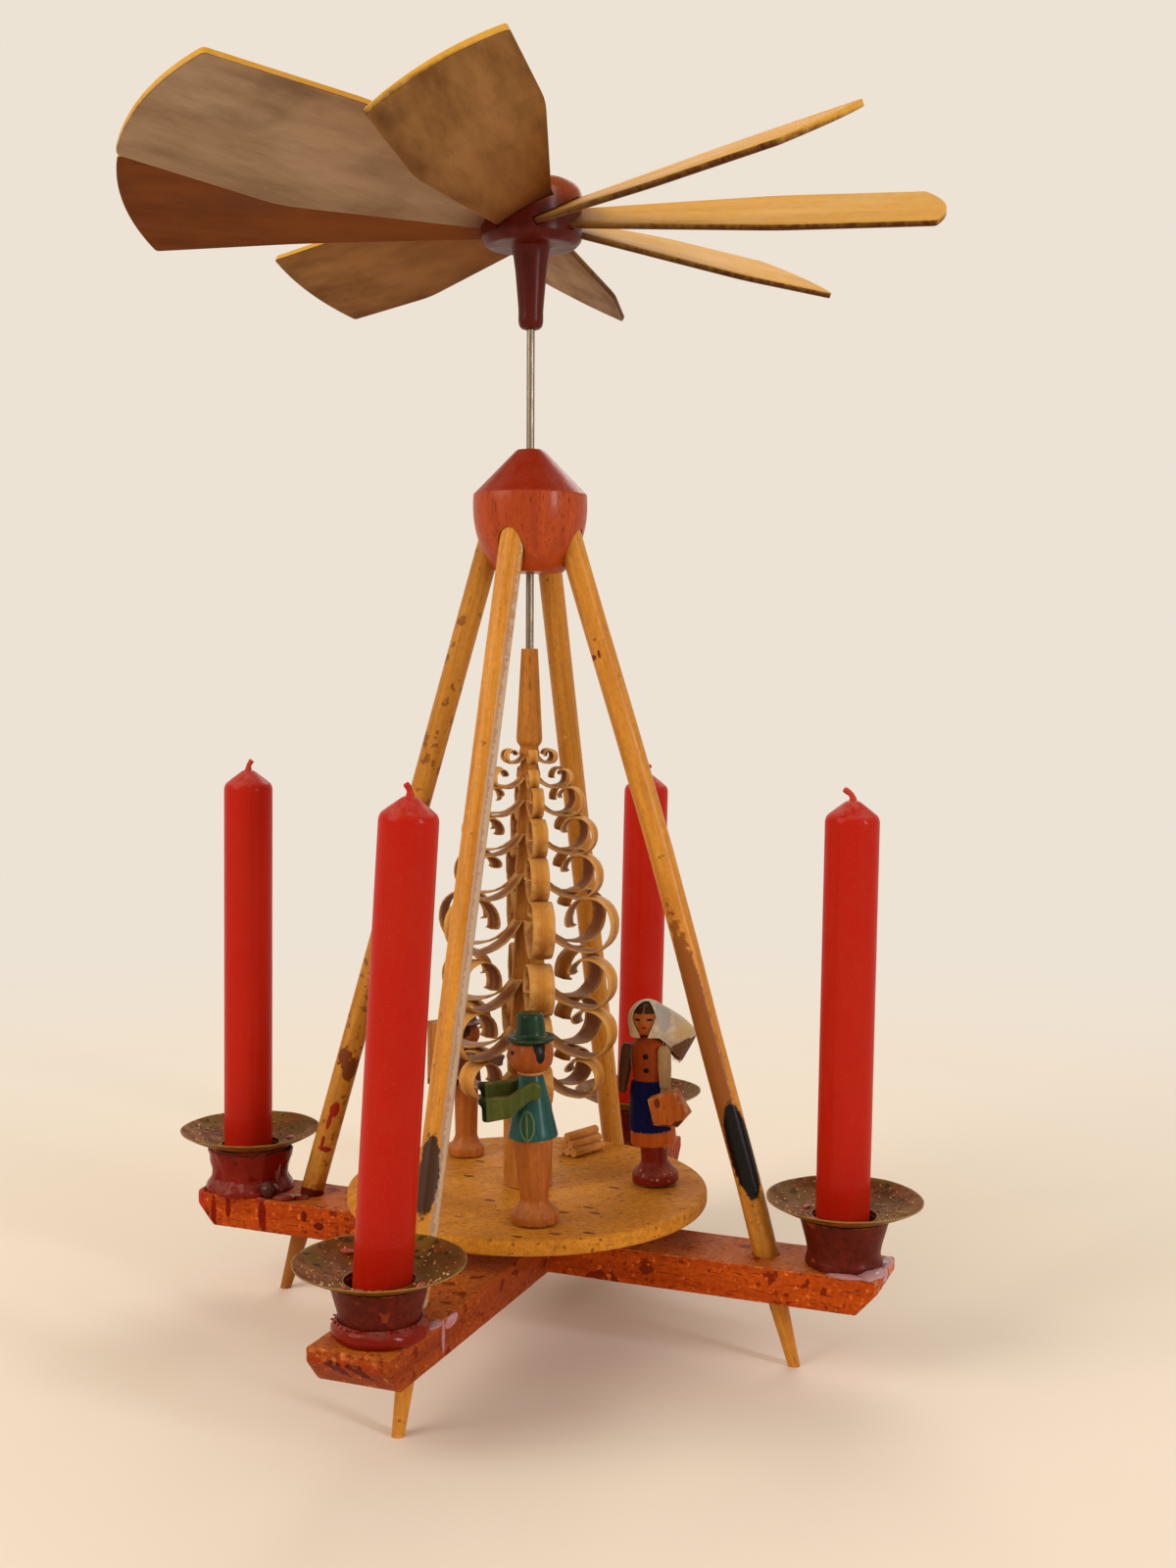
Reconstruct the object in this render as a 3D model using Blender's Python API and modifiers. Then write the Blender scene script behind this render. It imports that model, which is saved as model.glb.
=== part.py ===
"""Christmas pyramid: a candle-driven carousel on four splayed legs.

Metres, +Z up, origin on the table under the spindle. The four arms of the base lie on
the X and Y axes: front is -Y, right is +X, back is +Y and left is -X.
"""
import math
from collections import namedtuple

import bmesh
import bpy
from mathutils import Matrix, Quaternion, Vector

MM = 0.001

# Fits
glue_gap = 0.3 * MM              # between two glued or resting pieces
running_gap = 0.3 * MM           # round the turning shaft in the ball
candle_gap = 0.9 * MM            # round a candle in its cup, which lets it lean

# Base cross: the bars reach past the circle on which the candles stand
candle_circle_radius = 83.1 * MM
front_back_overhang = 11.9 * MM
left_right_overhang = 10.6 * MM
bar_width = 20.2 * MM
bar_thickness = 8.8 * MM
bar_underside = 18.3 * MM
bar_end_flat = 3.0 * MM          # upright strip at the top of each end, above the chamfer
bar_end_chamfer = 5.0 * MM       # how far the chamfer cuts in at the bottom

# Legs
leg_diameter = 6.2 * MM
leg_tip_diameter = 2.9 * MM
leg_taper_length = 29.0 * MM
leg_foot_radius = 72.3 * MM      # from the spindle to the middle of a foot
leg_splay = math.radians(16.86)
leg_depth_in_ball = 14.7 * MM    # height of the leg's end above the ball's underside

# Ball at the top of the legs
ball_diameter = 28.8 * MM
ball_underside = 194.3 * MM
ball_flat_radius = 8.3 * MM      # flat underside
ball_round_height = 19.4 * MM    # from the underside up to the sharp rim
ball_cone_height = 11.3 * MM
ball_top_radius = 3.3 * MM
ball_belly_height = 16.7 * MM    # height of the widest point above the underside

# Candle cups, drip trays and candles
candle_diameter = 13.0 * MM
candle_cone_height = 4.2 * MM
candle_top_radius = 1.5 * MM
cup_base_radius = 9.3 * MM
cup_waist_radius = 8.8 * MM
cup_top_radius = 11.1 * MM
cup_waist_height = 3.2 * MM
cup_floor_thickness = 5.3 * MM
tray_radius = 18.9 * MM
tray_metal = 0.4 * MM
tray_hole_clearance = 1.3 * MM
tray_hole_height = 11.9 * MM     # tray's upper side at its hole, above the cup's seat
tray_dish_depth = 4.2 * MM
wick_radius = 0.75 * MM
wick_socket = 5.0 * MM
wick_rise = 2.7 * MM
lean_azimuth = math.radians(23.4)
# Each arm's holder. The cup stands off the arm's middle and the candle off the cup's middle
# by cup_shift and candle_shift, towards the lean azimuth. The wick is bent the same way.
# Lengths are in millimetres and the lean is in degrees.
Holder = namedtuple("Holder", "azimuth cup_shift candle_shift lean candle_length wick_bend")
holders = {
    "front": Holder(-90.0, 1.1, 0.5, 3.3, 110.6, -1.1),
    "right": Holder(0.0, 0.2, -0.5, 0.5, 106.7, -2.2),
    "back": Holder(90.0, 0.1, 0.1, 1.0, 105.6, 1.0),
    "left": Holder(180.0, 0.0, -0.7, 0.45, 109.1, 1.0),
}

# Turntable and tree
disc_radius = 46.3 * MM
disc_thickness = 4.0 * MM
disc_underside = 33.4 * MM
disc_edge = 0.7 * MM
spigot_radius = 4.0 * MM         # the trunk's foot, glued in the disc
trunk_foot_radius = 6.3 * MM
trunk_top_height = 175.2 * MM
trunk_top_radius = 2.1 * MM
trunk_shoulder_height = 152.0 * MM
trunk_shoulder_radius = 3.3 * MM
trunk_core_top_radius = 2.3 * MM
trunk_core_foot_radius = 5.2 * MM
trunk_core_foot_height = 60.0 * MM
curl_columns = 6
curl_first_azimuth = math.radians(-58.6)
curl_thickness = 0.5 * MM
curl_root_depth = 0.4 * MM       # how deep a shaving still holds in the trunk
curl_points = 10
# Each tier of shavings from the top down: height of the curl's middle, reach from the
# trunk's axis, radius of the curl and width of the shaving, all in millimetres
curl_tiers = (
    (148.1, 7.3, 1.5, 2.4),
    (142.7, 11.5, 2.1, 2.7),
    (137.0, 15.0, 3.4, 3.0),
    (128.5, 18.3, 4.4, 4.0),
    (118.3, 20.0, 5.2, 4.8),
    (106.3, 24.2, 6.5, 5.6),
    (91.3, 23.2, 5.9, 6.4),
    (78.6, 23.2, 5.6, 6.8),
    (66.8, 19.5, 4.4, 6.8),
)

# Spindle
shaft_radius = 1.0 * MM
shaft_depth_in_trunk = 20.0 * MM
shaft_depth_in_hub = 29.0 * MM
pin_length = 23.0 * MM
pin_point_length = 2.5 * MM
bearing_radius = 3.0 * MM
bearing_height = 5.4 * MM
bearing_dimple_radius = 1.7 * MM
bearing_dimple_depth = 2.0 * MM

# Fan
hub_radius = 12.65 * MM
hub_underside = 274.8 * MM
hub_height = 15.6 * MM
hub_neck_length = 20.1 * MM
hub_neck_top_radius = 4.7 * MM
hub_neck_end_radius = 3.1 * MM
blade_level = 6.8 * MM           # middle of the blades above the hub's underside
blade_thickness = 1.6 * MM
blade_tip_bulge = 3.6 * MM
blade_slot_depth = 3.8 * MM
blade_root_width = 14.6 * MM
blade_bend_radius = 61.0 * MM
# The blades are cut and set by hand: the way each points, how far it rises outwards, how
# far it is pitched, all in degrees, then its widths at the bend and at the tip and the
# radius of its tip in millimetres
Blade = namedtuple("Blade", "azimuth rise pitch bend_width tip_width tip_radius")
blades = (
    Blade(15.8, 0.6, 25.6, 32.4, 31.9, 101.7),
    Blade(63.5, -0.4, 25.8, 33.5, 29.9, 102.3),
    Blade(105.1, 0.4, 27.0, 33.3, 31.4, 102.9),
    Blade(152.2, -1.2, 26.3, 29.6, 30.3, 103.0),
    Blade(197.5, 3.0, 25.7, 25.0, 36.3, 103.5),
    Blade(244.0, 4.0, 21.0, 40.5, 37.9, 107.1),
    Blade(282.6, 3.0, 28.6, 32.6, 32.4, 103.3),
    Blade(330.5, 1.2, 26.6, 32.0, 29.2, 102.3),
)

# Figures on the turntable: place by azimuth and radius, facing the way they travel
forester_azimuth = math.radians(-63.5)
forester_radius = 32.1 * MM
forester_facing = math.radians(206.0)
forester_lean = math.radians(1.5)      # both lean back from the lean azimuth
woman_azimuth = math.radians(23.1)
woman_radius = 33.1 * MM
woman_facing = math.radians(-86.0)
woman_lean = math.radians(3.2)
carrier_azimuth = math.radians(145.3)
carrier_radius = 31.8 * MM
carrier_facing = math.radians(55.3)
logs_azimuth = math.radians(86.0)
logs_radius = 32.0 * MM
log_radius = 1.2 * MM
log_length = 12.0 * MM
log_turn = math.radians(70.0)
log_overlap = 0.12 * MM          # how far two glued logs are pressed together
woman_head_radius = 4.4 * MM
scarf_cloth_thickness = 0.4 * MM
scarf_cheek = math.radians(41)   # from the way she faces to each edge of the kerchief

# Sizes and levels that follow from the sizes above
front_back_length = 2 * (candle_circle_radius + front_back_overhang)
left_right_length = 2 * (candle_circle_radius + left_right_overhang)
bar_top = bar_underside + bar_thickness
lap_height = bar_underside + bar_thickness / 2
disc_top = disc_underside + disc_thickness
figure_floor = disc_top + glue_gap
trunk_seat = disc_top + glue_gap
ball_rim = ball_underside + ball_round_height
ball_top = ball_rim + ball_cone_height
hub_top = hub_underside + hub_height
blade_height = hub_underside + blade_level
neck_end = hub_underside - hub_neck_length
cup_seat = bar_top + glue_gap
cup_floor = cup_seat + cup_floor_thickness
candle_foot = cup_floor + glue_gap
candle_radius = candle_diameter / 2
cup_bore_radius = candle_radius + candle_gap
tray_hole_radius = candle_radius + tray_hole_clearance
bearing_foot = lap_height - glue_gap / 2 + glue_gap
bearing_top = bearing_foot + bearing_height
pin_tip = bearing_top - bearing_dimple_depth + glue_gap
pin_top = pin_tip + pin_length
shaft_foot = trunk_top_height - shaft_depth_in_trunk
shaft_top = neck_end + shaft_depth_in_hub


# Scene and helpers

def clear_scene():
    for thing in list(bpy.data.objects):
        bpy.data.objects.remove(thing, do_unlink=True)


def new_collection(name):
    collection = bpy.data.collections.new(name)
    bpy.context.scene.collection.children.link(collection)
    return collection


clear_scene()
parts = new_collection("christmas_pyramid")
cutters = new_collection("cutters")


def to_linear(channel):
    return channel / 12.92 if channel <= 0.04045 else ((channel + 0.055) / 1.055) ** 2.4


def paint(name, red, green, blue, roughness, metallic=0.0):
    """A Principled material from a colour as it is seen, 0 to 255."""
    material = bpy.data.materials.new(name)
    material.use_nodes = True
    shader = material.node_tree.nodes["Principled BSDF"]
    colour = [to_linear(c / 255) for c in (red, green, blue)]
    shader.inputs["Base Color"].default_value = (*colour, 1.0)
    shader.inputs["Roughness"].default_value = roughness
    shader.inputs["Metallic"].default_value = metallic
    return material


stained_wood = paint("stained_wood", 150, 62, 32, 0.45)
honey_wood = paint("honey_wood", 205, 145, 70, 0.4)
blade_wood = paint("blade_wood", 200, 165, 95, 0.6)
carved_wood = paint("carved_wood", 215, 155, 85, 0.6)
steel = paint("steel", 170, 170, 172, 0.3, 1.0)
old_brass = paint("old_brass", 120, 98, 55, 0.55, 1.0)
red_wax = paint("red_wax", 200, 35, 30, 0.35)
dipped_wick = paint("dipped_wick", 190, 60, 45, 0.5)
green_lacquer = paint("green_lacquer", 30, 90, 80, 0.3)
olive_paint = paint("olive_paint", 90, 100, 50, 0.6)
face_wood = paint("face_wood", 200, 135, 85, 0.5)
leg_wood = paint("leg_wood", 195, 125, 65, 0.5)
maroon_paint = paint("maroon_paint", 120, 30, 30, 0.5)
bodice_paint = paint("bodice_paint", 165, 80, 40, 0.5)
scarf_cloth = paint("scarf_cloth", 190, 185, 165, 0.9)
sleeve_paint = paint("sleeve_paint", 170, 160, 135, 0.7)
grey_paint = paint("grey_paint", 130, 115, 125, 0.6)
basket_wood = paint("basket_wood", 200, 140, 85, 0.6)
bark = paint("bark", 175, 125, 80, 0.8)


def add_object(name, mesh, collection):
    thing = bpy.data.objects.new(name, mesh)
    collection.objects.link(thing)
    if collection is cutters:
        thing.hide_render = True
        thing.display_type = "WIRE"
    return thing


def finish(thing, material, parent=None):
    """Gives a piece its material, and its parent without moving it."""
    thing.data.materials.clear()
    thing.data.materials.append(material)
    if parent is not None:
        thing.parent = parent
    return thing


def empty_at(name, location):
    marker = bpy.data.objects.new(name, None)
    marker.location = location
    marker.empty_display_size = 0.01
    parts.objects.link(marker)
    return marker


def lathe(name, profile, sides, collection=parts, ring=False):
    """A turned solid from (radius, height) points that run down its outer side."""
    mesh = bpy.data.meshes.new(name)
    points = [(radius, 0.0, height) for radius, height in profile]
    edges = [(i, i + 1) for i in range(len(points) - 1)]
    if ring:
        edges.append((len(points) - 1, 0))
    mesh.from_pydata(points, edges, [])
    thing = add_object(name, mesh, collection)
    turn = thing.modifiers.new("Turn", "SCREW")
    turn.axis = "Z"
    turn.steps = sides
    turn.render_steps = sides
    turn.use_merge_vertices = True
    turn.merge_threshold = 0.00001
    turn.use_smooth_shade = True
    return thing


def as_mesh(thing):
    """Replaces a curve by a welded mesh object of the same name and place."""
    bpy.context.view_layer.update()
    evaluated = thing.evaluated_get(bpy.context.evaluated_depsgraph_get())
    mesh = bpy.data.meshes.new_from_object(evaluated)
    work = bmesh.new()
    work.from_mesh(mesh)
    bmesh.ops.remove_doubles(work, verts=work.verts, dist=0.000002)
    bmesh.ops.recalc_face_normals(work, faces=work.faces)
    work.to_mesh(mesh)
    work.free()
    name = thing.name
    collection = thing.users_collection[0]
    matrix = thing.matrix_world.copy()
    curve = thing.data
    bpy.data.objects.remove(thing, do_unlink=True)
    bpy.data.curves.remove(curve)
    solid = add_object(name, mesh, collection)
    solid.matrix_world = matrix
    return solid


def plate(name, outline, thickness, collection=parts):
    """A flat piece in the XY plane, centred on it, from its outline."""
    curve = bpy.data.curves.new(name, "CURVE")
    curve.dimensions = "2D"
    curve.fill_mode = "BOTH"
    curve.extrude = thickness / 2
    spline = curve.splines.new("POLY")
    spline.points.add(len(outline) - 1)
    for point, (x, y) in zip(spline.points, outline):
        point.co = (x, y, 0.0, 1.0)
    spline.use_cyclic_u = True
    return as_mesh(add_object(name, curve, collection))


def rod(name, points, radius, collection=parts, resolution=2):
    """A bent round rod along a smooth run of points."""
    curve = bpy.data.curves.new(name, "CURVE")
    curve.dimensions = "3D"
    curve.bevel_depth = radius
    curve.bevel_resolution = resolution
    curve.use_fill_caps = True
    spline = curve.splines.new("POLY")
    spline.points.add(len(points) - 1)
    for point, place in zip(spline.points, points):
        point.co = (*place, 1.0)
    return as_mesh(add_object(name, curve, collection))


def box(name, low, high, collection=parts):
    mesh = bpy.data.meshes.new(name)
    work = bmesh.new()
    bmesh.ops.create_cube(work, size=1.0)
    for vertex in work.verts:
        for axis in range(3):
            middle = (low[axis] + high[axis]) / 2
            vertex.co[axis] = middle + vertex.co[axis] * (high[axis] - low[axis])
    work.to_mesh(mesh)
    work.free()
    return add_object(name, mesh, collection)


def boolean(thing, other, operation="DIFFERENCE"):
    step = thing.modifiers.new(other.name, "BOOLEAN")
    step.operation = operation
    step.solver = "EXACT"
    step.object = other


def arc(centre_radius, centre_height, radius, start, end, count):
    """Points of a rounded edge in a turned profile, by angles in degrees."""
    points = []
    for i in range(count):
        angle = math.radians(start + (end - start) * i / (count - 1))
        points.append((centre_radius + radius * math.cos(angle),
                       centre_height + radius * math.sin(angle)))
    return points


def on_circle(azimuth, radius, height):
    return Vector((radius * math.cos(azimuth), radius * math.sin(azimuth), height))


rotor_axis = empty_at("rotor_axis", (0.0, 0.0, 0.0))


# Legs

def leg_height_along(height):
    return height / math.cos(leg_splay)


def leg_profile(grow):
    """Along the leg from its end in the ball to its tip, which runs below the floor."""
    end = leg_height_along(ball_underside + leg_depth_in_ball) + grow
    radius = leg_diameter / 2
    tip_radius = leg_tip_diameter / 2
    slope = (radius - tip_radius) / leg_taper_length
    past_tip = 2.0 * MM
    return [(0.0, end), (radius + grow, end), (radius + grow, leg_taper_length),
            (tip_radius + grow - slope * past_tip, -past_tip), (0.0, -past_tip)]


def place_leg(thing, azimuth):
    thing.location = on_circle(azimuth, leg_foot_radius, 0.0)
    thing.rotation_euler = (0.0, -leg_splay, azimuth)


def make_legs():
    below = 10.0 * MM
    reach = front_back_length
    floor = box("floor_cut", (-reach, -reach, -below), (reach, reach, 0.0), cutters)
    leg_cutters = {}
    for arm, holder in holders.items():
        azimuth = math.radians(holder.azimuth)
        leg = lathe("leg_" + arm, leg_profile(0.0), 14)
        place_leg(leg, azimuth)
        boolean(leg, floor)
        finish(leg, honey_wood)
        hole = lathe("leg_hole_" + arm, leg_profile(glue_gap), 14, cutters)
        place_leg(hole, azimuth)
        leg_cutters[arm] = hole
    return leg_cutters


# Base cross

def bar_outline(length):
    half = length / 2
    flat = bar_top - bar_end_flat
    inner = half - bar_end_chamfer
    return [(-half, bar_top), (-half, flat), (-inner, bar_underside),
            (inner, bar_underside), (half, flat), (half, bar_top)]


def make_bar(name, length, turn):
    bar = plate(name, bar_outline(length), bar_width)
    bar.matrix_world = Matrix.Rotation(turn, 4, "Z") @ Matrix.Rotation(math.pi / 2, 4, "X")
    return finish(bar, stained_wood)


def make_base(leg_cutters):
    lower = make_bar("base_bar_left_right", left_right_length, 0.0)
    upper = make_bar("base_bar_front_back", front_back_length, math.pi / 2)
    half_notch = bar_width / 2 + glue_gap
    past = 1.0 * MM
    upper_notch = box("lap_in_lower_bar", (-half_notch, -bar_width, lap_height - glue_gap / 2),
                      (half_notch, bar_width, bar_top + past), cutters)
    lower_notch = box("lap_in_upper_bar", (-bar_width, -half_notch, bar_underside - past),
                      (bar_width, half_notch, lap_height + glue_gap / 2), cutters)
    boolean(lower, upper_notch)
    boolean(upper, lower_notch)
    boolean(lower, leg_cutters["left"])
    boolean(lower, leg_cutters["right"])
    boolean(upper, leg_cutters["front"])
    boolean(upper, leg_cutters["back"])
    bore_radius = bearing_radius + glue_gap
    bore = lathe("bearing_bore", [(0.0, bar_top + past), (bore_radius, bar_top + past),
                                  (bore_radius, lap_height), (0.0, lap_height)], 20, cutters)
    boolean(upper, bore)
    dimple_foot = bearing_top - bearing_dimple_depth
    bearing = lathe("pivot_bearing", [(0.0, dimple_foot),
                                      (bearing_dimple_radius, bearing_top),
                                      (bearing_radius, bearing_top),
                                      (bearing_radius, bearing_foot),
                                      (0.0, bearing_foot)], 20)
    finish(bearing, old_brass)


# Ball

def ball_profile():
    """The round belly is part of an ellipse that ends at the flat underside."""
    bore = shaft_radius + running_gap
    belly = ball_underside + ball_belly_height
    half_width = ball_diameter / 2
    flat_share = ball_flat_radius / half_width
    drop = ball_belly_height / math.sqrt(1.0 - flat_share ** 2)
    edge = 0.5 * MM
    points = [(bore, ball_top), (ball_top_radius - edge, ball_top),
              (ball_top_radius, ball_top - edge / 2)]
    points.append((half_width - edge, ball_rim + edge / 2))
    start = math.asin((belly - ball_rim) / drop)
    end = math.asin(ball_belly_height / drop)
    count = 8
    for i in range(count):
        angle = start + (end - start) * i / (count - 1)
        points.append((half_width * math.cos(angle), belly - drop * math.sin(angle)))
    points.append((bore, ball_underside))
    return points


def make_ball(leg_cutters):
    ball = lathe("apex_ball", ball_profile(), 28, ring=True)
    for hole in leg_cutters.values():
        boolean(ball, hole)
    finish(ball, stained_wood)


# Candle holders

def tray_height(radius):
    """Upper side of the dished tray at a radius from the candle's axis."""
    share = (radius - tray_hole_radius) / (tray_radius - tray_hole_radius)
    return cup_seat + tray_hole_height + tray_dish_depth * max(share, 0.0) ** 1.5


def tray_profile():
    count = 5
    radii = [tray_hole_radius + (tray_radius - tray_hole_radius) * i / (count - 1)
             for i in range(count)]
    upper = [(radius, tray_height(radius)) for radius in radii]
    lower = [(radius, tray_height(radius) - tray_metal) for radius in reversed(radii)]
    return upper + lower


def cup_profile():
    """From the floor of the socket up its wall, over the rim and down the outside."""
    rim_drop = tray_metal + glue_gap
    mouth = cup_bore_radius + 0.9 * MM
    waist = cup_seat + cup_waist_height
    top = tray_height(cup_top_radius) - rim_drop
    bead = 1.0 * MM
    return [(0.0, cup_floor), (cup_bore_radius, cup_floor),
            (cup_bore_radius, tray_height(mouth) - rim_drop - 0.6 * MM),
            (mouth, tray_height(mouth) - rim_drop),
            (cup_top_radius, top),
            (cup_waist_radius + 0.55 * (cup_top_radius - cup_waist_radius),
             waist + 0.6 * (top - waist)),
            (cup_waist_radius, waist), (cup_base_radius, cup_seat + bead),
            (cup_base_radius, cup_seat), (0.0, cup_seat)]


def candle_profile(length, base):
    """Heights from the base level, with the socket of the wick in the top."""
    foot = candle_foot - base
    top = foot + length
    shoulder = top - candle_cone_height
    edge = 0.5 * MM
    socket_radius = wick_radius + glue_gap
    return [(0.0, top - wick_socket), (socket_radius, top - wick_socket),
            (socket_radius, top), (candle_top_radius, top - 0.2 * MM),
            (candle_radius - edge, shoulder + edge / 2), (candle_radius, shoulder - edge),
            (candle_radius, foot + edge), (candle_radius - edge, foot), (0.0, foot)]


def make_candle_holder(arm, holder):
    azimuth = math.radians(holder.azimuth)
    lean_way = on_circle(lean_azimuth, 1.0, 0.0)
    centre = on_circle(azimuth, candle_circle_radius, 0.0) + lean_way * (holder.cup_shift * MM)
    cup = lathe("candle_cup_" + arm, cup_profile(), 24)
    cup.location = centre
    finish(cup, stained_wood)
    tray = lathe("drip_tray_" + arm, tray_profile(), 26, ring=True)
    tray.location = centre
    finish(tray, old_brass)

    pivot = (cup_floor + tray_height(tray_hole_radius)) / 2
    lean = math.radians(holder.lean)
    low_edge = candle_radius * math.sin(lean)
    place = centre + lean_way * (holder.candle_shift * MM)
    seat = empty_at("candle_axis_" + arm, place + Vector((0.0, 0.0, pivot + low_edge)))
    hinge_line = Vector((-math.sin(lean_azimuth), math.cos(lean_azimuth), 0.0))
    seat.rotation_mode = "QUATERNION"
    seat.rotation_quaternion = Quaternion(hinge_line, lean)
    length = holder.candle_length * MM
    candle = lathe("candle_" + arm, candle_profile(length, pivot), 18)
    finish(candle, red_wax, seat)

    top = candle_foot + length - pivot
    start = top - wick_socket + glue_gap
    bend = holder.wick_bend * MM
    path = [(0.0, 0.0, start), (0.0, 0.0, top), (0.1 * bend, 0.0, top + 0.35 * wick_rise),
            (0.45 * bend, 0.0, top + 0.72 * wick_rise), (bend, 0.0, top + wick_rise)]
    wick = rod("wick_" + arm, path, wick_radius)
    finish(wick, dipped_wick, seat)
    wick.rotation_euler = (0.0, 0.0, lean_azimuth)


# Spindle

def make_spindle():
    shaft = lathe("wind_shaft", [(0.0, shaft_top), (shaft_radius, shaft_top),
                                 (shaft_radius, shaft_foot), (0.0, shaft_foot)], 16)
    finish(shaft, steel, rotor_axis)
    pin = lathe("pivot_pin", [(0.0, pin_top), (shaft_radius, pin_top),
                              (shaft_radius, pin_tip + pin_point_length), (0.0, pin_tip)], 16)
    finish(pin, steel, rotor_axis)


# Turntable

def make_disc():
    hole = spigot_radius + glue_gap
    profile = [(hole, disc_top), (disc_radius - disc_edge, disc_top),
               (disc_radius, disc_top - disc_edge), (disc_radius, disc_underside + disc_edge),
               (disc_radius - disc_edge, disc_underside), (hole, disc_underside)]
    finish(lathe("turntable_disc", profile, 48, ring=True), honey_wood, rotor_axis)


# Tree of shavings, carved from one turned stick

def trunk_core_radius(height):
    span = trunk_shoulder_height - trunk_core_foot_height
    share = (height - trunk_core_foot_height) / span
    return trunk_core_foot_radius + (trunk_core_top_radius - trunk_core_foot_radius) * share


def trunk_profile():
    """Bored at both ends for the steel shaft above and the pivot pin below."""
    bore = shaft_radius + glue_gap
    step = 2.0 * MM
    return [(0.0, shaft_foot - glue_gap), (bore, shaft_foot - glue_gap),
            (bore, trunk_top_height), (trunk_top_radius, trunk_top_height),
            (trunk_shoulder_radius, trunk_shoulder_height),
            (trunk_core_top_radius, trunk_shoulder_height - step),
            (trunk_core_foot_radius, trunk_core_foot_height),
            (trunk_foot_radius, trunk_core_foot_height - step),
            (trunk_foot_radius, trunk_seat), (spigot_radius, trunk_seat),
            (spigot_radius, disc_underside), (bore, disc_underside),
            (bore, pin_top + glue_gap), (0.0, pin_top + glue_gap)]


def curl_path(height, reach, radius):
    """Middle line of one shaving, as (distance from the axis, height).

    It leaves the trunk downwards, passes under the curl's middle, rises round the outside
    and rolls back inwards, each quarter turn a little tighter.
    """
    middle = reach - radius
    root = middle - trunk_core_radius(height) + curl_root_depth
    under = 1.12 * radius
    turns = 1.14
    points = []
    for i in range(curl_points):
        swept = 2 * math.pi * turns * i / (curl_points - 1)
        quarter = math.pi / 2
        if swept < quarter:
            distance = under + (root - under) * (1 - swept / quarter) ** 2
        else:
            distance = radius * (1.12 - 0.12 * (swept - quarter) / quarter)
        angle = math.pi + swept
        points.append((middle + distance * math.cos(angle),
                       height + distance * math.sin(angle)))
    return points


def add_shaving(work, azimuth, tier):
    height, reach, radius, width = (size * MM for size in tier)
    path = curl_path(height, reach, radius)
    root_width = min(width, 1.1 * (trunk_core_radius(height) - curl_root_depth))
    along = Vector((math.cos(azimuth), math.sin(azimuth), 0.0))
    across = Vector((-math.sin(azimuth), math.cos(azimuth), 0.0))
    rows = []
    for i, (distance, level) in enumerate(path):
        share = min(1.0, i / 3)
        half = (root_width + (width - root_width) * share) / 2
        centre = along * distance + Vector((0.0, 0.0, level))
        rows.append((work.verts.new(centre - across * half),
                     work.verts.new(centre + across * half)))
    for (left, right), (next_left, next_right) in zip(rows, rows[1:]):
        work.faces.new((left, right, next_right, next_left))


def make_tree():
    mesh = bpy.data.meshes.new("shavings")
    work = bmesh.new()
    for column in range(curl_columns):
        azimuth = curl_first_azimuth + 2 * math.pi * column / curl_columns
        for tier in curl_tiers:
            add_shaving(work, azimuth, tier)
    work.to_mesh(mesh)
    work.free()
    shavings = add_object("shavings", mesh, cutters)
    wall = shavings.modifiers.new("Wall", "SOLIDIFY")
    wall.thickness = curl_thickness
    wall.offset = 0.0
    tree = lathe("shaved_tree", trunk_profile(), 18)
    boolean(tree, shavings, "UNION")
    finish(tree, carved_wood, rotor_axis)


# Fan

def blade_outline(blade, grow):
    """Narrow at the hub, widening to a bend and ending in a shallow bulge."""
    inner = hub_radius - blade_slot_depth - grow
    root = blade_root_width / 2 + grow
    bend = blade.bend_width * MM / 2 + grow
    tip = blade.tip_width * MM / 2 + grow
    corner = blade.tip_radius * MM - blade_tip_bulge + grow
    points = [(inner, -root), (blade_bend_radius, -bend), (corner, -tip)]
    count = 7
    for i in range(1, count):
        share = 2 * i / count - 1
        points.append((corner + blade_tip_bulge * (1 - share ** 2), tip * share))
    points += [(corner, tip), (blade_bend_radius, bend), (inner, root)]
    return points


def blade_place(blade):
    azimuth, rise, pitch = (math.radians(blade.azimuth), math.radians(blade.rise),
                            math.radians(blade.pitch))
    return (Matrix.Translation((0.0, 0.0, blade_height)) @ Matrix.Rotation(azimuth, 4, "Z")
            @ Matrix.Rotation(-rise, 4, "Y") @ Matrix.Rotation(pitch, 4, "X"))


def hub_profile():
    bore = shaft_radius + glue_gap
    round_edge = 3.4 * MM
    chamfer = 1.6 * MM
    neck = hub_neck_length
    points = [(0.0, hub_top)]
    points += arc(hub_radius - round_edge, hub_top - round_edge, round_edge, 90, 0, 4)
    points += [(hub_radius, hub_underside + chamfer), (hub_radius - chamfer, hub_underside),
               (hub_neck_top_radius, hub_underside),
               (hub_neck_top_radius - 0.9 * MM, hub_underside - 0.3 * neck),
               (hub_neck_end_radius + 0.2 * MM, hub_underside - 0.62 * neck),
               (hub_neck_end_radius, neck_end + 1.6 * MM),
               (hub_neck_end_radius - 0.3 * MM, neck_end + 0.6 * MM),
               (hub_neck_end_radius - 1.0 * MM, neck_end),
               (bore, neck_end), (bore, shaft_top + glue_gap), (0.0, shaft_top + glue_gap)]
    return points


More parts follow.
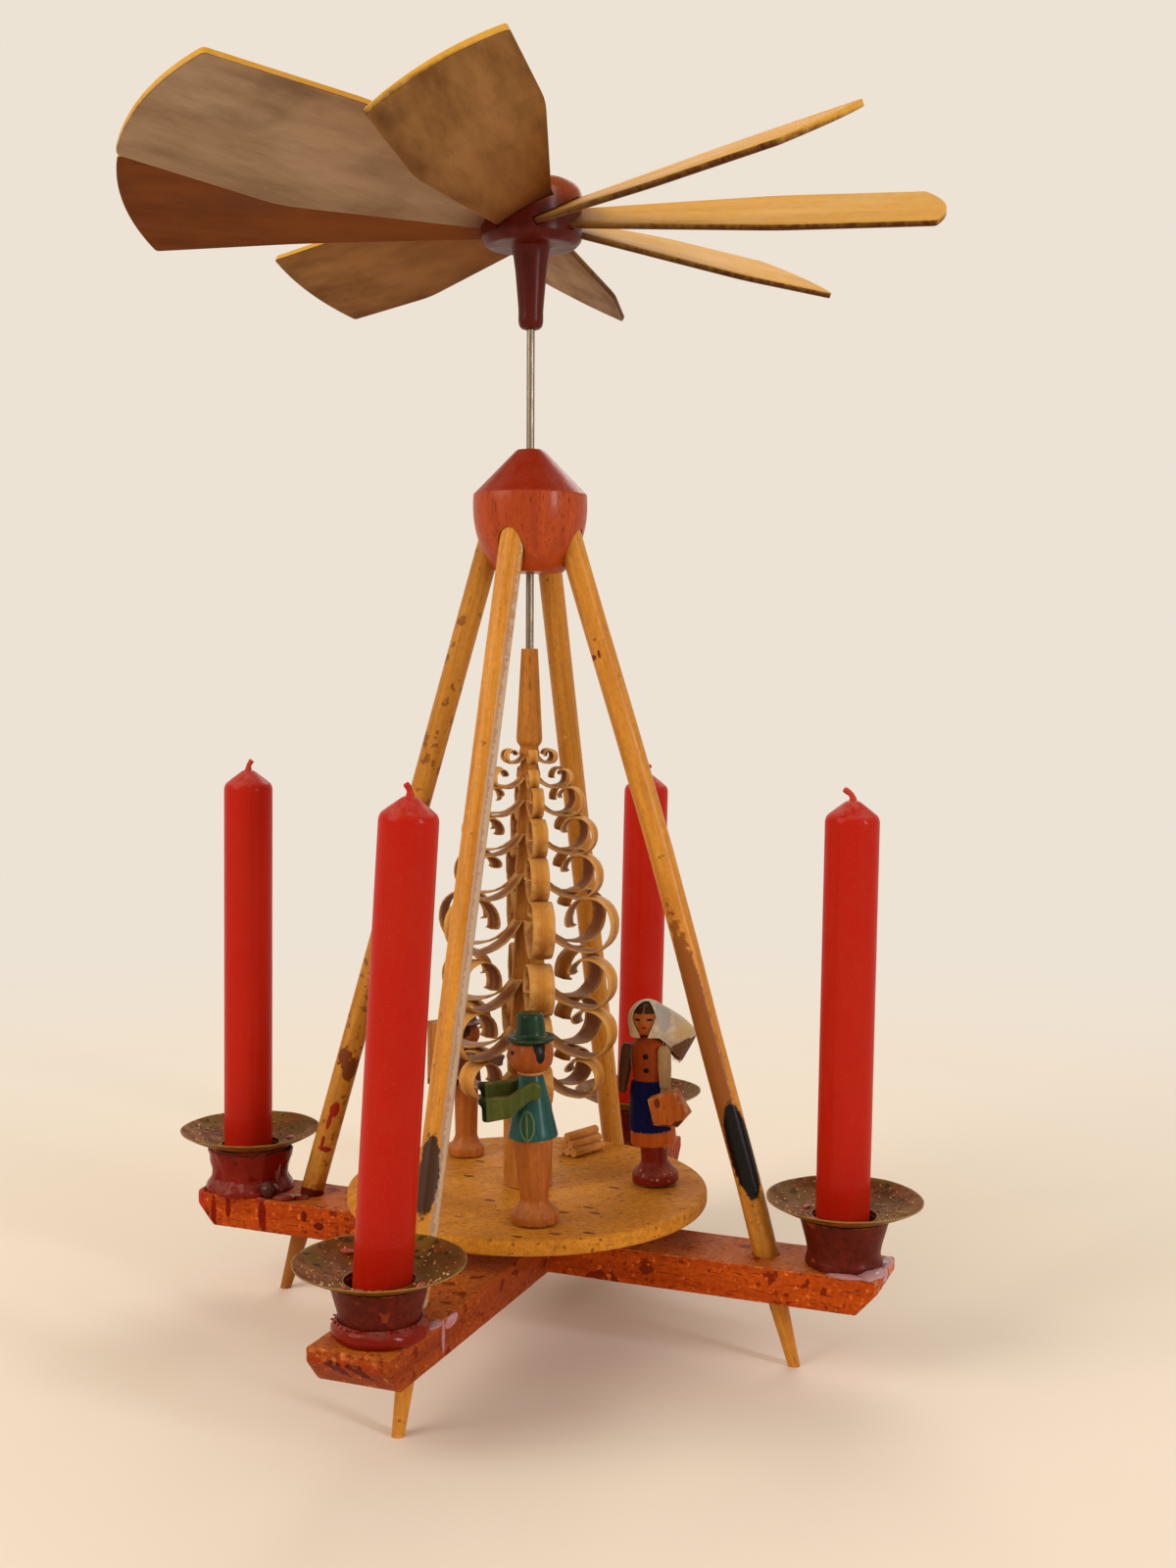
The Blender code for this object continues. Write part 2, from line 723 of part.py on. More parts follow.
def make_fan():
    hub = lathe("fan_hub", hub_profile(), 28)
    for number, blade in enumerate(blades, 1):
        board = plate("fan_blade_" + str(number), blade_outline(blade, 0.0), blade_thickness)
        board.matrix_world = blade_place(blade)
        finish(board, blade_wood, rotor_axis)
        slot = plate("slot_" + str(number), blade_outline(blade, glue_gap),
                     blade_thickness + 2 * glue_gap, cutters)
        slot.matrix_world = blade_place(blade)
        boolean(hub, slot)
    finish(hub, stained_wood, rotor_axis)


# Figures

def stand(name, azimuth, radius, facing, foot_radius, lean=0.0):
    """An empty under a figure: +X is the way that it faces, and it turns with the disc. A
    figure that leans stands on the edge of its foot."""
    marker = empty_at(name, on_circle(azimuth, radius,
                                      figure_floor + foot_radius * math.sin(lean)))
    hinge_line = Vector((-math.sin(lean_azimuth), math.cos(lean_azimuth), 0.0))
    marker.rotation_mode = "QUATERNION"
    marker.rotation_quaternion = (Quaternion(hinge_line, -lean)
                                  @ Quaternion((0.0, 0.0, 1.0), facing))
    marker.parent = rotor_axis
    return marker


def figure_piece(name, profile, material, parent, sides=16):
    return finish(lathe(name, profile, sides), material, parent)


def cutter_piece(name, profile, parent):
    cutter = lathe(name, profile, 16, cutters)
    cutter.parent = parent
    return cutter


def ball_points(radius, centre, top, bottom, count):
    """Profile of a ball cut flat at two levels."""
    start = math.degrees(math.asin((top - centre) / radius))
    end = math.degrees(math.asin((bottom - centre) / radius))
    points = arc(0.0, centre, radius, start, end, count)
    return [(0.0, top)] + points + [(0.0, bottom)]


def legs_profile(foot_radius, ankle_radius, hip_radius, foot_height, height):
    """Both legs are one turned cone that stands on a round foot."""
    ankle = foot_height + 1.6 * MM
    return [(0.0, height), (hip_radius, height), (ankle_radius, ankle),
            (0.75 * foot_radius, foot_height), (foot_radius, 0.55 * foot_height),
            (foot_radius, 0.0), (0.0, 0.0)]


def hat_profile(brim, brim_radius, brim_thickness, crown_radius, crown_height):
    """From the top of the crown down to the flat underside of the brim."""
    edge = 0.5 * MM
    top = brim + crown_height
    return [(0.0, top), (crown_radius - 2 * edge, top), (crown_radius - edge, top - edge),
            (crown_radius, brim + 1.2 * brim_thickness),
            (brim_radius - edge, brim + brim_thickness),
            (brim_radius, brim + 0.55 * brim_thickness), (brim_radius - edge, brim),
            (0.0, brim)]


def sleeve_outline(length, shoulder, cuff_top, cuff_bottom, hand):
    """Shoulder round, bent sleeve, cuff and hand with its thumb; +X is forward."""
    points = []
    count = 6
    for i in range(count):
        angle = math.radians(75 + 210 * i / (count - 1))
        points.append((shoulder * math.cos(angle), shoulder * math.sin(angle)))
    points += [(0.5 * length, 0.88 * cuff_bottom), (length, cuff_bottom),
               (length + 0.7 * hand, cuff_bottom + 0.2 * hand),
               (length + 0.6 * hand, cuff_top - 1.2 * hand),
               (length + 1.3 * hand, cuff_top - 0.7 * hand),
               (length + 0.9 * hand, cuff_top), (length, cuff_top),
               (0.5 * length, cuff_top + 0.1 * shoulder)]
    return points


def flat_arm(name, outline, thickness, offset, height, material, parent, trimmer):
    """A flat arm that stands upright beside the body and is trimmed to it."""
    arm = plate(name, outline, thickness)
    arm.rotation_euler = (math.pi / 2, 0.0, 0.0)
    arm.location = (0.0, offset, height)
    arm.parent = parent
    boolean(arm, trimmer)
    return finish(arm, material)


def make_forester():
    foot_radius = 5.9 * MM
    base = stand("forester_stand", forester_azimuth, forester_radius, forester_facing,
                 foot_radius, forester_lean)
    legs_top = 20.5 * MM
    legs = legs_profile(foot_radius, 3.2 * MM, 4.8 * MM, 3.6 * MM, legs_top)
    figure_piece("forester_legs", legs, leg_wood, base)
    coat_foot = legs_top + glue_gap
    coat_top = 36.0 * MM
    hem_radius = 6.0 * MM
    neck_radius = 2.6 * MM

    def coat_profile(grow):
        return [(0.0, coat_top + grow), (neck_radius + grow, coat_top + grow),
                (hem_radius + grow, coat_foot - grow), (0.0, coat_foot - grow)]

    figure_piece("forester_coat", coat_profile(0.0), green_lacquer, base)
    head_radius = 5.4 * MM
    head_foot = coat_top + glue_gap
    head_centre = head_foot + 4.5 * MM
    brim_seat = head_centre + 2.8 * MM
    head = ball_points(head_radius, head_centre, brim_seat, head_foot, 7)
    figure_piece("forester_head", head, face_wood, base)
    hat = hat_profile(brim_seat + glue_gap, 5.9 * MM, 1.1 * MM, 3.7 * MM, 6.8 * MM)
    figure_piece("forester_hat", hat, green_lacquer, base)
    trimmer = cutter_piece("forester_coat_cut", coat_profile(glue_gap), base)
    arm_thickness = 2.2 * MM
    arm_offset = 4.2 * MM
    shoulder_height = 32.6 * MM
    reach = 11.0 * MM
    shoulder_radius = 2.2 * MM
    hand = 1.6 * MM
    left = sleeve_outline(reach, shoulder_radius, -1.2 * MM, -7.0 * MM, hand)
    right = sleeve_outline(reach, shoulder_radius, 0.6 * MM, -4.6 * MM, hand)
    flat_arm("forester_arm_left", left, arm_thickness, arm_offset, shoulder_height,
             olive_paint, base, trimmer)
    flat_arm("forester_arm_right", right, arm_thickness, -arm_offset, shoulder_height,
             olive_paint, base, trimmer)


def scarf_point(turn, fall):
    """The kerchief: turn runs round the head from one cheek to the other, fall from the
    crown, 0, to the hem, 1. It closes under the chin, stands away to a point behind her left
    shoulder, and its corner is tucked back and hangs down there."""
    closing = max(0.0, fall - 0.6) / 0.4
    cheek = scarf_cheek * (1 - 0.7 * closing)
    azimuth = cheek + 2 * (math.pi - cheek) * turn
    polar = math.radians(10 + 112 * fall)
    radius = woman_head_radius + glue_gap
    behind = math.exp(-((math.degrees(azimuth) - 128) / 44) ** 2)
    flare = min(1.0, max(0.0, fall - 0.3) / 0.5)
    tuck = max(0.0, fall - 0.8) / 0.2
    out = radius * math.sin(polar) + behind * 8.2 * MM * flare ** 1.1 * (1 - 0.5 * tuck)
    if fall > 0.7:
        out = max(out, 0.95 * radius)
    drop = 1.6 * MM * closing + behind * (3.2 * MM * flare + 4.6 * MM * tuck)
    return Vector((out * math.cos(azimuth), out * math.sin(azimuth),
                   radius * math.cos(polar) - drop))


def make_scarf(name, centre, parent):
    """An open sheet over the head, thickened outwards."""
    around = 20
    down = 10
    mesh = bpy.data.meshes.new(name)
    work = bmesh.new()
    grid = []
    for i in range(around + 1):
        column = []
        for j in range(down + 1):
            column.append(work.verts.new(centre + scarf_point(i / around, j / down)))
        grid.append(column)
    for i in range(around):
        for j in range(down):
            work.faces.new((grid[i][j], grid[i][j + 1], grid[i + 1][j + 1], grid[i + 1][j]))
    crown = [column[0] for column in grid]
    work.faces.new(crown)
    work.to_mesh(mesh)
    work.free()
    scarf = add_object(name, mesh, parts)
    wall = scarf.modifiers.new("Cloth", "SOLIDIFY")
    wall.thickness = scarf_cloth_thickness
    wall.offset = 1.0
    return finish(scarf, scarf_cloth, parent)


def hanging_arm(name, place, tilt_out, tilt_forward, material, parent, trimmer):
    """A round sleeve that hangs from the shoulder at its place and ends in a fist."""
    length = 13.4 * MM
    upper = 1.7 * MM
    lower = 1.35 * MM
    profile = [(0.0, 0.0), (0.7 * upper, -0.03 * length), (upper, -0.12 * length),
               (upper, -0.45 * length), (lower, -0.82 * length),
               (0.8 * lower, -0.96 * length), (0.0, -length)]
    arm = figure_piece(name, profile, material, parent, 12)
    arm.location = place
    arm.rotation_euler = (math.radians(tilt_out), math.radians(-tilt_forward), 0.0)
    boolean(arm, trimmer)


def make_woman():
    foot_radius = 6.0 * MM
    base = stand("woman_stand", woman_azimuth, woman_radius, woman_facing, foot_radius,
                 woman_lean)
    legs_top = 9.8 * MM
    legs = legs_profile(foot_radius, 3.4 * MM, 3.6 * MM, 3.8 * MM, legs_top)
    figure_piece("woman_legs", legs, maroon_paint, base)
    hem = legs_top + glue_gap
    neck = 38.0 * MM
    neck_radius = 2.6 * MM
    shoulder_radius = 4.3 * MM
    bust_radius = 4.7 * MM
    waist_radius = 4.5 * MM
    skirt_radius = 5.9 * MM

    def body_profile(grow):
        return [(0.0, neck + grow), (neck_radius + grow, neck + grow),
                (shoulder_radius + grow, neck - 1.6 * MM), (bust_radius + grow, neck - 5.0 * MM),
                (waist_radius + grow, neck - 10.6 * MM),
                (0.88 * skirt_radius + grow, neck - 14.0 * MM),
                (skirt_radius + grow, hem + 1.2 * MM), (skirt_radius + grow, hem - grow),
                (0.0, hem - grow)]

    figure_piece("woman_body", body_profile(0.0), bodice_paint, base)
    head_foot = neck + glue_gap
    head_centre = head_foot + 4.2 * MM
    head_top = head_centre + 0.99 * woman_head_radius
    head = ball_points(woman_head_radius, head_centre, head_top, head_foot, 8)
    figure_piece("woman_head", head, face_wood, base)
    make_scarf("woman_headscarf", Vector((0.0, 0.0, head_centre)), base)

    trimmer = cutter_piece("woman_body_cut", body_profile(glue_gap), base)
    shoulder_height = 36.4 * MM
    hanging_arm("woman_arm_right", (0.2 * MM, -5.5 * MM, shoulder_height), -8, 6,
                bodice_paint, base, trimmer)
    hanging_arm("woman_arm_left", (3.7 * MM, 5.0 * MM, shoulder_height), -1, 0,
                sleeve_paint, base, trimmer)
    block = [(-1.2 * MM, -1.2 * MM), (-2.5 * MM, 5.4 * MM), (4.5 * MM, 7.7 * MM),
             (7.9 * MM, 1.6 * MM), (5.0 * MM, -1.5 * MM)]
    basket_depth = 5.0 * MM
    basket_middle = skirt_radius + basket_depth / 2
    basket = plate("woman_basket", block, basket_depth)
    basket.parent = base
    basket.rotation_euler = (math.pi / 2, 0.0, math.pi / 2)
    basket.location = (basket_middle, 4.4 * MM, 18.6 * MM)
    finish(basket, basket_wood)


def make_carrier():
    foot_radius = 4.9 * MM
    base = stand("carrier_stand", carrier_azimuth, carrier_radius, carrier_facing,
                 foot_radius)
    legs_top = 19.6 * MM
    legs = legs_profile(foot_radius, 3.0 * MM, 3.3 * MM, 3.6 * MM, legs_top)
    figure_piece("carrier_legs", legs, leg_wood, base)
    coat_foot = legs_top + glue_gap
    coat_top = coat_foot + 9.6 * MM
    hem_radius = 4.1 * MM
    shoulder_radius = 3.1 * MM
    neck_radius = 2.5 * MM

    def coat_profile(grow):
        return [(0.0, coat_top + grow), (neck_radius + grow, coat_top + grow),
                (shoulder_radius + grow, coat_top - 0.8 * MM),
                (hem_radius + grow, coat_foot - grow), (0.0, coat_foot - grow)]

    figure_piece("carrier_coat", coat_profile(0.0), maroon_paint, base)
    head_radius = 3.7 * MM
    head_foot = coat_top + glue_gap
    head_centre = head_foot + 3.3 * MM
    brim_seat = head_centre + 2.5 * MM
    head = ball_points(head_radius, head_centre, brim_seat, head_foot, 7)
    figure_piece("carrier_head", head, face_wood, base)
    hat = hat_profile(brim_seat + glue_gap, 4.5 * MM, 0.8 * MM, 2.9 * MM, 4.2 * MM)
    figure_piece("carrier_hat", hat, grey_paint, base)
    trimmer = cutter_piece("carrier_coat_cut", coat_profile(glue_gap), base)
    arm_thickness = 1.8 * MM
    shoulder_height = coat_top - 2.2 * MM
    sleeve = sleeve_outline(8.2 * MM, 1.7 * MM, -0.2 * MM, -3.4 * MM, 1.2 * MM)
    for side, label in ((1, "left"), (-1, "right")):
        flat_arm("carrier_arm_" + label, sleeve, arm_thickness, side * 3.7 * MM,
                 shoulder_height, grey_paint, base, trimmer)
    half_depth = 3.0 * MM
    half_width = 3.2 * MM
    height = 17.4 * MM
    back = -(hem_radius + glue_gap + half_depth)
    pannier = box("carrier_pannier", (back - half_depth, -half_width, coat_foot),
                  (back + half_depth, half_width, coat_foot + height))
    pannier.parent = base
    finish(pannier, basket_wood)


def make_logs():
    """Six short logs, three, two and one, glued into one stack."""
    step = 2 * log_radius - log_overlap
    rise = step * math.sqrt(3) / 2
    stack = None
    for row, number in enumerate((3, 2, 1)):
        for i in range(number):
            shift = (i - (number - 1) / 2) * step
            profile = [(0.0, log_length / 2), (log_radius, log_length / 2),
                       (log_radius, -log_length / 2), (0.0, -log_length / 2)]
            first = stack is None
            log = lathe("log_stack" if first else f"log_{row}_{i}", profile, 10,
                        parts if first else cutters)
            place = on_circle(logs_azimuth, logs_radius, figure_floor + log_radius + row * rise)
            sideways = Vector((math.sin(log_turn), -math.cos(log_turn), 0.0))
            log.matrix_world = (Matrix.Translation(place + sideways * shift)
                                @ Matrix.Rotation(log_turn, 4, "Z")
                                @ Matrix.Rotation(math.pi / 2, 4, "Y"))
            if first:
                stack = log
                finish(log, bark, rotor_axis)
            else:
                boolean(stack, log, "UNION")


leg_holes = make_legs()
make_base(leg_holes)
make_ball(leg_holes)
for arm_name, arm_holder in holders.items():
    make_candle_holder(arm_name, arm_holder)
make_spindle()
make_disc()
make_tree()
make_fan()
make_forester()
make_woman()
make_carrier()
make_logs()
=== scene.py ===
"""Christmas pyramid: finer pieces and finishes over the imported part.

Every piece is built in millimetres in the part's own frame and scaled to metres at the end.
"""

import math
import random
from collections import namedtuple

import bmesh
import bpy
import numpy as np
from mathutils import Matrix, Quaternion, Vector, noise


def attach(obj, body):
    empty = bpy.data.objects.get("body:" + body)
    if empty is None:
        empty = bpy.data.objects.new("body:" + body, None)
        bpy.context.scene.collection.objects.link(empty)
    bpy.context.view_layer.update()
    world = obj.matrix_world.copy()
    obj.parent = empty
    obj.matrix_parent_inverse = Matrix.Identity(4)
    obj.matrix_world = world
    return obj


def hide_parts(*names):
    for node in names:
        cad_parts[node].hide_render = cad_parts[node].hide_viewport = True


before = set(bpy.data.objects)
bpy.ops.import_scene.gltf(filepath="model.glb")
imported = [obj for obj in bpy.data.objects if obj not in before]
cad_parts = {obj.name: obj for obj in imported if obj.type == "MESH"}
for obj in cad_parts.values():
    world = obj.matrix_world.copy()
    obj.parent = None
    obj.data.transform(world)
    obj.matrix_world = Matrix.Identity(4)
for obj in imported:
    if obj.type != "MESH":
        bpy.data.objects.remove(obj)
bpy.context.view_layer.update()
scene = bpy.context.scene
# The vector noise would otherwise start from the clock and differ from run to run
noise.seed_set(1)

# Sizes of the part, in millimetres
bar_underside, bar_top, bar_width = 18.3, 27.1, 20.2
bar_end_flat, bar_end_chamfer, bar_end_round = 3.0, 5.0, 0.4
long_bar, cross_bar = 187.4, 190.0
lap_height = (bar_underside + bar_top) / 2
fit = 0.3
leg_radius, leg_tip_radius, leg_taper, leg_foot_radius = 3.1, 1.45, 29.0, 72.3
leg_splay = math.radians(16.86)
ball_underside, ball_rim, ball_top = 194.3, 213.7, 225.0
leg_end = (ball_underside + 14.7) / math.cos(leg_splay)
right_leg_heights = (0.0, 22.0, 45.0, 85.0, 105.0, 130.0, 160.0, 190.0, 205.0)
right_leg_bow = (-0.9, -0.4, 0.3, 0.6, 1.0, 1.2, 0.9, 0.25, 0.0)
shaft_bore = 1.3
cup_seat, cup_floor = 27.4, 32.7
candle_foot = cup_floor + fit
candle_radius = 6.5
candle_circle = 83.1
tray_hole, tray_radius, tray_metal = 7.8, 18.9, 0.4
tray_hole_height, tray_dish = 11.9, 4.2
lean_azimuth = math.radians(23.4)
lean_hinge = Vector((-math.sin(lean_azimuth), math.cos(lean_azimuth), 0.0))
Holder = namedtuple("Holder", "azimuth cup_shift candle_shift lean length wick_bend")
holders = {
    "front": Holder(-90.0, 1.1, 0.5, 3.3, 110.6, -1.1),
    "right": Holder(0.0, 0.2, -0.5, 0.5, 106.7, -2.2),
    "back": Holder(90.0, 0.1, 0.1, 1.0, 105.6, 1.0),
    "left": Holder(180.0, 0.0, -0.7, 0.45, 109.1, 1.0),
}
disc_radius, disc_underside, disc_top = 46.3, 33.4, 37.4
figure_floor = disc_top + fit
Stand = namedtuple("Stand", "azimuth radius facing foot_radius lean")
stands = {
    "forester": Stand(-63.5, 32.1, 206.0, 5.9, 1.5),
    "woman": Stand(23.1, 33.1, -86.0, 6.0, 3.2),
    "carrier": Stand(145.3, 31.8, 55.3, 4.9, 0.0),
}
log_azimuth, log_distance, log_turn = math.radians(86.0), 32.0, math.radians(70.0)
log_radius, log_half = 1.2, 6.0
trunk_foot, trunk_foot_radius = 60.0, 5.2
trunk_tip, trunk_tip_radius = 152.0, 2.3
curl_first_azimuth = math.radians(-58.6)
# Each tier of curls as (height, reach, radius of the curl, width of the shaving)
curl_tiers = (
    (148.1, 7.3, 1.5, 2.4), (142.7, 11.5, 2.1, 2.7), (137.0, 15.0, 3.4, 3.0),
    (128.5, 18.3, 4.4, 4.0), (118.3, 20.0, 5.2, 4.8), (106.3, 24.2, 6.5, 5.6),
    (91.3, 23.2, 5.9, 6.4), (78.6, 23.2, 5.6, 6.8), (66.8, 19.5, 4.4, 6.8),
)
hub_radius, hub_underside, hub_top, neck_end = 12.65, 274.8, 290.4, 254.7
blade_height, blade_thickness = 281.6, 1.6
blade_root, blade_root_half, blade_bend, tip_bow = 8.85, 7.3, 61.0, 3.6
Blade = namedtuple("Blade", "azimuth rise pitch bend_width tip_width tip_radius soot")
blades = (
    Blade(15.8, 0.6, 25.6, 32.4, 31.9, 101.7, 0.2),
    Blade(63.5, -0.4, 25.8, 33.5, 29.9, 102.3, 0.3),
    Blade(105.1, 0.4, 27.0, 33.3, 31.4, 102.9, 0.6),
    Blade(152.2, -1.2, 26.3, 29.6, 30.3, 103.0, 0.35),
    Blade(197.5, 3.0, 25.7, 25.0, 36.3, 103.5, 0.0),
    Blade(244.0, 4.0, 21.0, 40.5, 37.9, 107.1, 1.0),
    Blade(282.6, 3.0, 28.6, 32.6, 32.4, 103.3, 0.5),
    Blade(330.5, 1.2, 26.6, 32.0, 29.2, 102.3, 0.2),
)
to_metres = Matrix.Scale(0.001, 4)


# Node trees in short lines

class Nodes:
    def __init__(self, tree):
        self.tree = tree

    def add(self, kind, inputs=None, **settings):
        node = self.tree.nodes.new(kind)
        for key, value in settings.items():
            setattr(node, key, value)
        for key, value in (inputs or {}).items():
            self.put(node.inputs[key], value)
        return node

    def put(self, socket, value):
        if isinstance(value, bpy.types.NodeSocket):
            self.tree.links.new(value, socket)
        else:
            socket.default_value = value

    def maths(self, operation, first, second=0.0, clamp=False):
        return self.add("ShaderNodeMath", {0: first, 1: second},
                        operation=operation, use_clamp=clamp).outputs[0]

    def plus(self, first, second, clamp=False):
        return self.maths("ADD", first, second, clamp)

    def minus(self, first, second):
        return self.maths("SUBTRACT", first, second)

    def times(self, first, second, clamp=False):
        return self.maths("MULTIPLY", first, second, clamp)

    def over(self, first, second):
        return self.maths("DIVIDE", first, second)

    def mix(self, share, first, second):
        return self.add("ShaderNodeMix", {0: share, 6: first, 7: second},
                        data_type="RGBA").outputs[2]

    def span(self, value, low, high, start=0.0, end=1.0):
        return self.add("ShaderNodeMapRange", {0: value, 1: low, 2: high, 3: start,
                                               4: end}).outputs[0]

    def vector(self, operation, first, second):
        return self.add("ShaderNodeVectorMath", {0: first, 1: second},
                        operation=operation).outputs[0]

    def scaled(self, place, factors):
        return self.vector("MULTIPLY", place, factors)

    def shifted(self, place, offset):
        return self.vector("ADD", place, offset)

    def grown(self, place, factor):
        return self.add("ShaderNodeVectorMath", {0: place, 3: factor}, operation="SCALE").outputs[0]

    def length(self, place):
        return self.add("ShaderNodeVectorMath", {0: place}, operation="LENGTH").outputs["Value"]

    def along(self, place, axis):
        return self.add("ShaderNodeSeparateXYZ", {0: place}).outputs["XYZ".index(axis)]

    def noise(self, place, scale, detail=2.0, roughness=0.5, distortion=0.0):
        return self.add("ShaderNodeTexNoise", {
            "Vector": place, "Scale": scale, "Detail": detail, "Roughness": roughness,
            "Distortion": distortion}).outputs[0]

    def attribute(self, name, output="Fac"):
        return self.add("ShaderNodeAttribute", attribute_name=name).outputs[output]

    def random(self, low, high, seed):
        return self.add("FunctionNodeRandomValue", {0: low, 1: high, "Seed": seed},
                        data_type="FLOAT_VECTOR").outputs[0]

    def turned(self, angles):
        return self.add("FunctionNodeEulerToRotation", {0: angles}).outputs[0]

    def use(self, group, **inputs):
        node = self.add(self.tree.bl_idname.replace("Tree", "Group"))
        node.node_tree = group
        for key, value in inputs.items():
            self.put(node.inputs[key], value)
        return node.outputs


def new_group(name, kind, inputs, outputs):
    tree = bpy.data.node_groups.new(name, kind)
    for label, socket_type, value in inputs:
        socket = tree.interface.new_socket(name=label, in_out="INPUT", socket_type=socket_type)
        if value is not None:
            socket.default_value = value
    for label, socket_type in outputs:
        tree.interface.new_socket(name=label, in_out="OUTPUT", socket_type=socket_type)
    start = tree.nodes.new("NodeGroupInput").outputs
    end = tree.nodes.new("NodeGroupOutput").inputs
    return tree, Nodes(tree), start, end


FLOAT, WHOLE, VECTOR = "NodeSocketFloat", "NodeSocketInt", "NodeSocketVector"
SHAPE, FINISH = "NodeSocketGeometry", "NodeSocketMaterial"


def new_effect(name, inputs, masks):
    """A shader node group that reads a Place and puts out masks."""
    return new_group(name, "ShaderNodeTree", [("Place", VECTOR, None)] + inputs,
                     [(mask, FLOAT) for mask in masks])


def new_tree(name, inputs):
    """A Geometry Nodes tree from a shape and its sizes to a shape in its finish."""
    return new_group(name, "GeometryNodeTree",
                     [("Geometry", SHAPE, None)] + inputs + [("Finish", FINISH, None)],
                     [("Geometry", SHAPE)])


def end_tree(n, start, end, inputs):
    """Instances on points, made real and given the tree's finish."""
    placed = n.add("GeometryNodeInstanceOnPoints", inputs).outputs[0]
    solid = n.add("GeometryNodeRealizeInstances", {"Geometry": placed}).outputs[0]
    n.put(end["Geometry"], n.add("GeometryNodeSetMaterial", {
        "Geometry": solid, "Material": start["Finish"]}).outputs[0])


def make_wood_figure():
    """Streaks, pores and fibres that run along Z of the place, in millimetres."""
    tree, n, start, end = new_effect("wood_figure", [("Width", FLOAT, 3.0), ("Seed", FLOAT, 0.0)],
                                     ("Streak", "Pores", "Fibre"))
    place = n.shifted(start["Place"], n.scaled(start["Seed"], (11.3, 5.7, 23.9)))
    broad = n.grown(n.scaled(place, (1.0, 1.0, 0.05)), n.over(1.0, start["Width"]))
    n.put(end["Streak"], n.span(n.noise(broad, 1.0, 4.0, 0.6, 0.5), 0.32, 0.68))
    pores = n.noise(n.scaled(place, (1.0, 1.0, 0.11)), 2.6, 1.0)
    n.put(end["Pores"], n.span(pores, 0.64, 0.72))
    n.put(end["Fibre"], n.noise(n.scaled(place, (1.0, 1.0, 0.03)), 6.0, 3.0, 0.7))
    return tree


def make_dust_film():
    """Dust that lies where the surface faces up, as a film with specks in it."""
    tree, n, start, end = new_effect("dust_film", [("Up", FLOAT, 0.0), ("Amount", FLOAT, 0.5)],
                                     ("Dust",))
    film = n.span(n.noise(start["Place"], 0.3, 4.0, 0.65), 0.36, 0.66)
    film = n.times(film, n.span(start["Up"], 0.3, 0.95))
    specks = n.add("ShaderNodeTexVoronoi", {"Vector": start["Place"], "Scale": 0.9})
    specks = n.span(specks.outputs["Distance"], 0.2, 0.12)
    specks = n.times(specks, n.span(start["Up"], 0.0, 0.7, 0.15, 0.8))
    n.put(end["Dust"], n.times(n.maths("MAXIMUM", film, specks), start["Amount"], clamp=True))
    return tree


def make_worn_edge():
    """Edges where the finish is rubbed through."""
    tree, n, start, end = new_effect("worn_edge", [("Edge", FLOAT, 0.0), ("Amount", FLOAT, 0.5)],
                                     ("Wear",))
    rub = n.span(n.noise(start["Place"], 0.45, 5.0, 0.7), 0.3, 0.7)
    rub = n.plus(n.times(rub, 0.75), start["Amount"])
    n.put(end["Wear"], n.span(n.times(rub, start["Edge"]), 0.45, 0.85))
    return tree


def make_flecks():
    """Small ragged spots about Size across, over a Share of the surface."""
    tree, n, start, end = new_effect("flecks", [("Size", FLOAT, 1.0), ("Share", FLOAT, 0.3)],
                                     ("Flecks",))
    wander = n.add("ShaderNodeTexNoise", {"Vector": start["Place"], "Detail": 4.0,
                                          "Scale": n.over(1.4, start["Size"])}).outputs[1]
    bend = n.scaled(n.grown(wander, start["Size"]), (1.6, 1.6, 1.6))
    cells = n.add("ShaderNodeTexVoronoi", {"Vector": n.shifted(start["Place"], bend),
                                           "Scale": n.over(1.0, start["Size"])})
    limit = n.times(n.minus(start["Share"], n.along(cells.outputs["Color"], "X")), 0.9)
    n.put(end["Flecks"], n.span(n.minus(limit, cells.outputs["Distance"]), -0.03, 0.05))
    return tree


def make_spot():
    """One mark round a Centre, with a Reach along each axis and a Ragged edge."""
    tree, n, start, end = new_effect(
        "spot", [("Centre", VECTOR, None), ("Reach", VECTOR, None), ("Ragged", FLOAT, 0.2)],
        ("Spot",))
    away = n.vector("SUBTRACT", start["Place"], start["Centre"])
    away = n.length(n.vector("DIVIDE", away, start["Reach"]))
    ragged = n.minus(n.noise(start["Place"], 0.8, 4.0, 0.6), 0.5)
    away = n.plus(away, n.times(ragged, start["Ragged"]))
    n.put(end["Spot"], n.span(away, 1.04, 0.94))
    return tree


wood_figure = make_wood_figure()
dust_film = make_dust_film()
worn_edge = make_worn_edge()
flecks = make_flecks()
spot = make_spot()


# Finishes

def rgb(red, green, blue):
    """A colour as it is seen, 0 to 255, made linear."""
    seen = (red / 255, green / 255, blue / 255)
    return tuple(c / 12.92 if c <= 0.04045 else ((c + 0.055) / 1.055) ** 2.4 for c in seen) + (1.0,)


def new_finish(name):
    material = bpy.data.materials.new(name)
    material.use_nodes = True
    return material, Nodes(material.node_tree), material.node_tree.nodes["Principled BSDF"]


def object_place(n):
    """The piece's own place in the part, in millimetres."""
    return n.scaled(n.add("ShaderNodeTexCoord").outputs["Object"], (1000.0, 1000.0, 1000.0))


def add_marks(n, colour, place, marks):
    """Lays marks over a colour, each as (centre, reach along each axis, colour, raggedness)."""
    for centre, reach, tint, ragged in marks:
        mask = n.use(spot, Place=place, Centre=centre, Reach=reach, Ragged=ragged)["Spot"]
        colour = n.mix(mask, colour, rgb(*tint))
    return colour


def dust_on(n, place, amount):
    return n.use(dust_film, Place=place, Up=n.attribute("up"), Amount=amount)["Dust"]


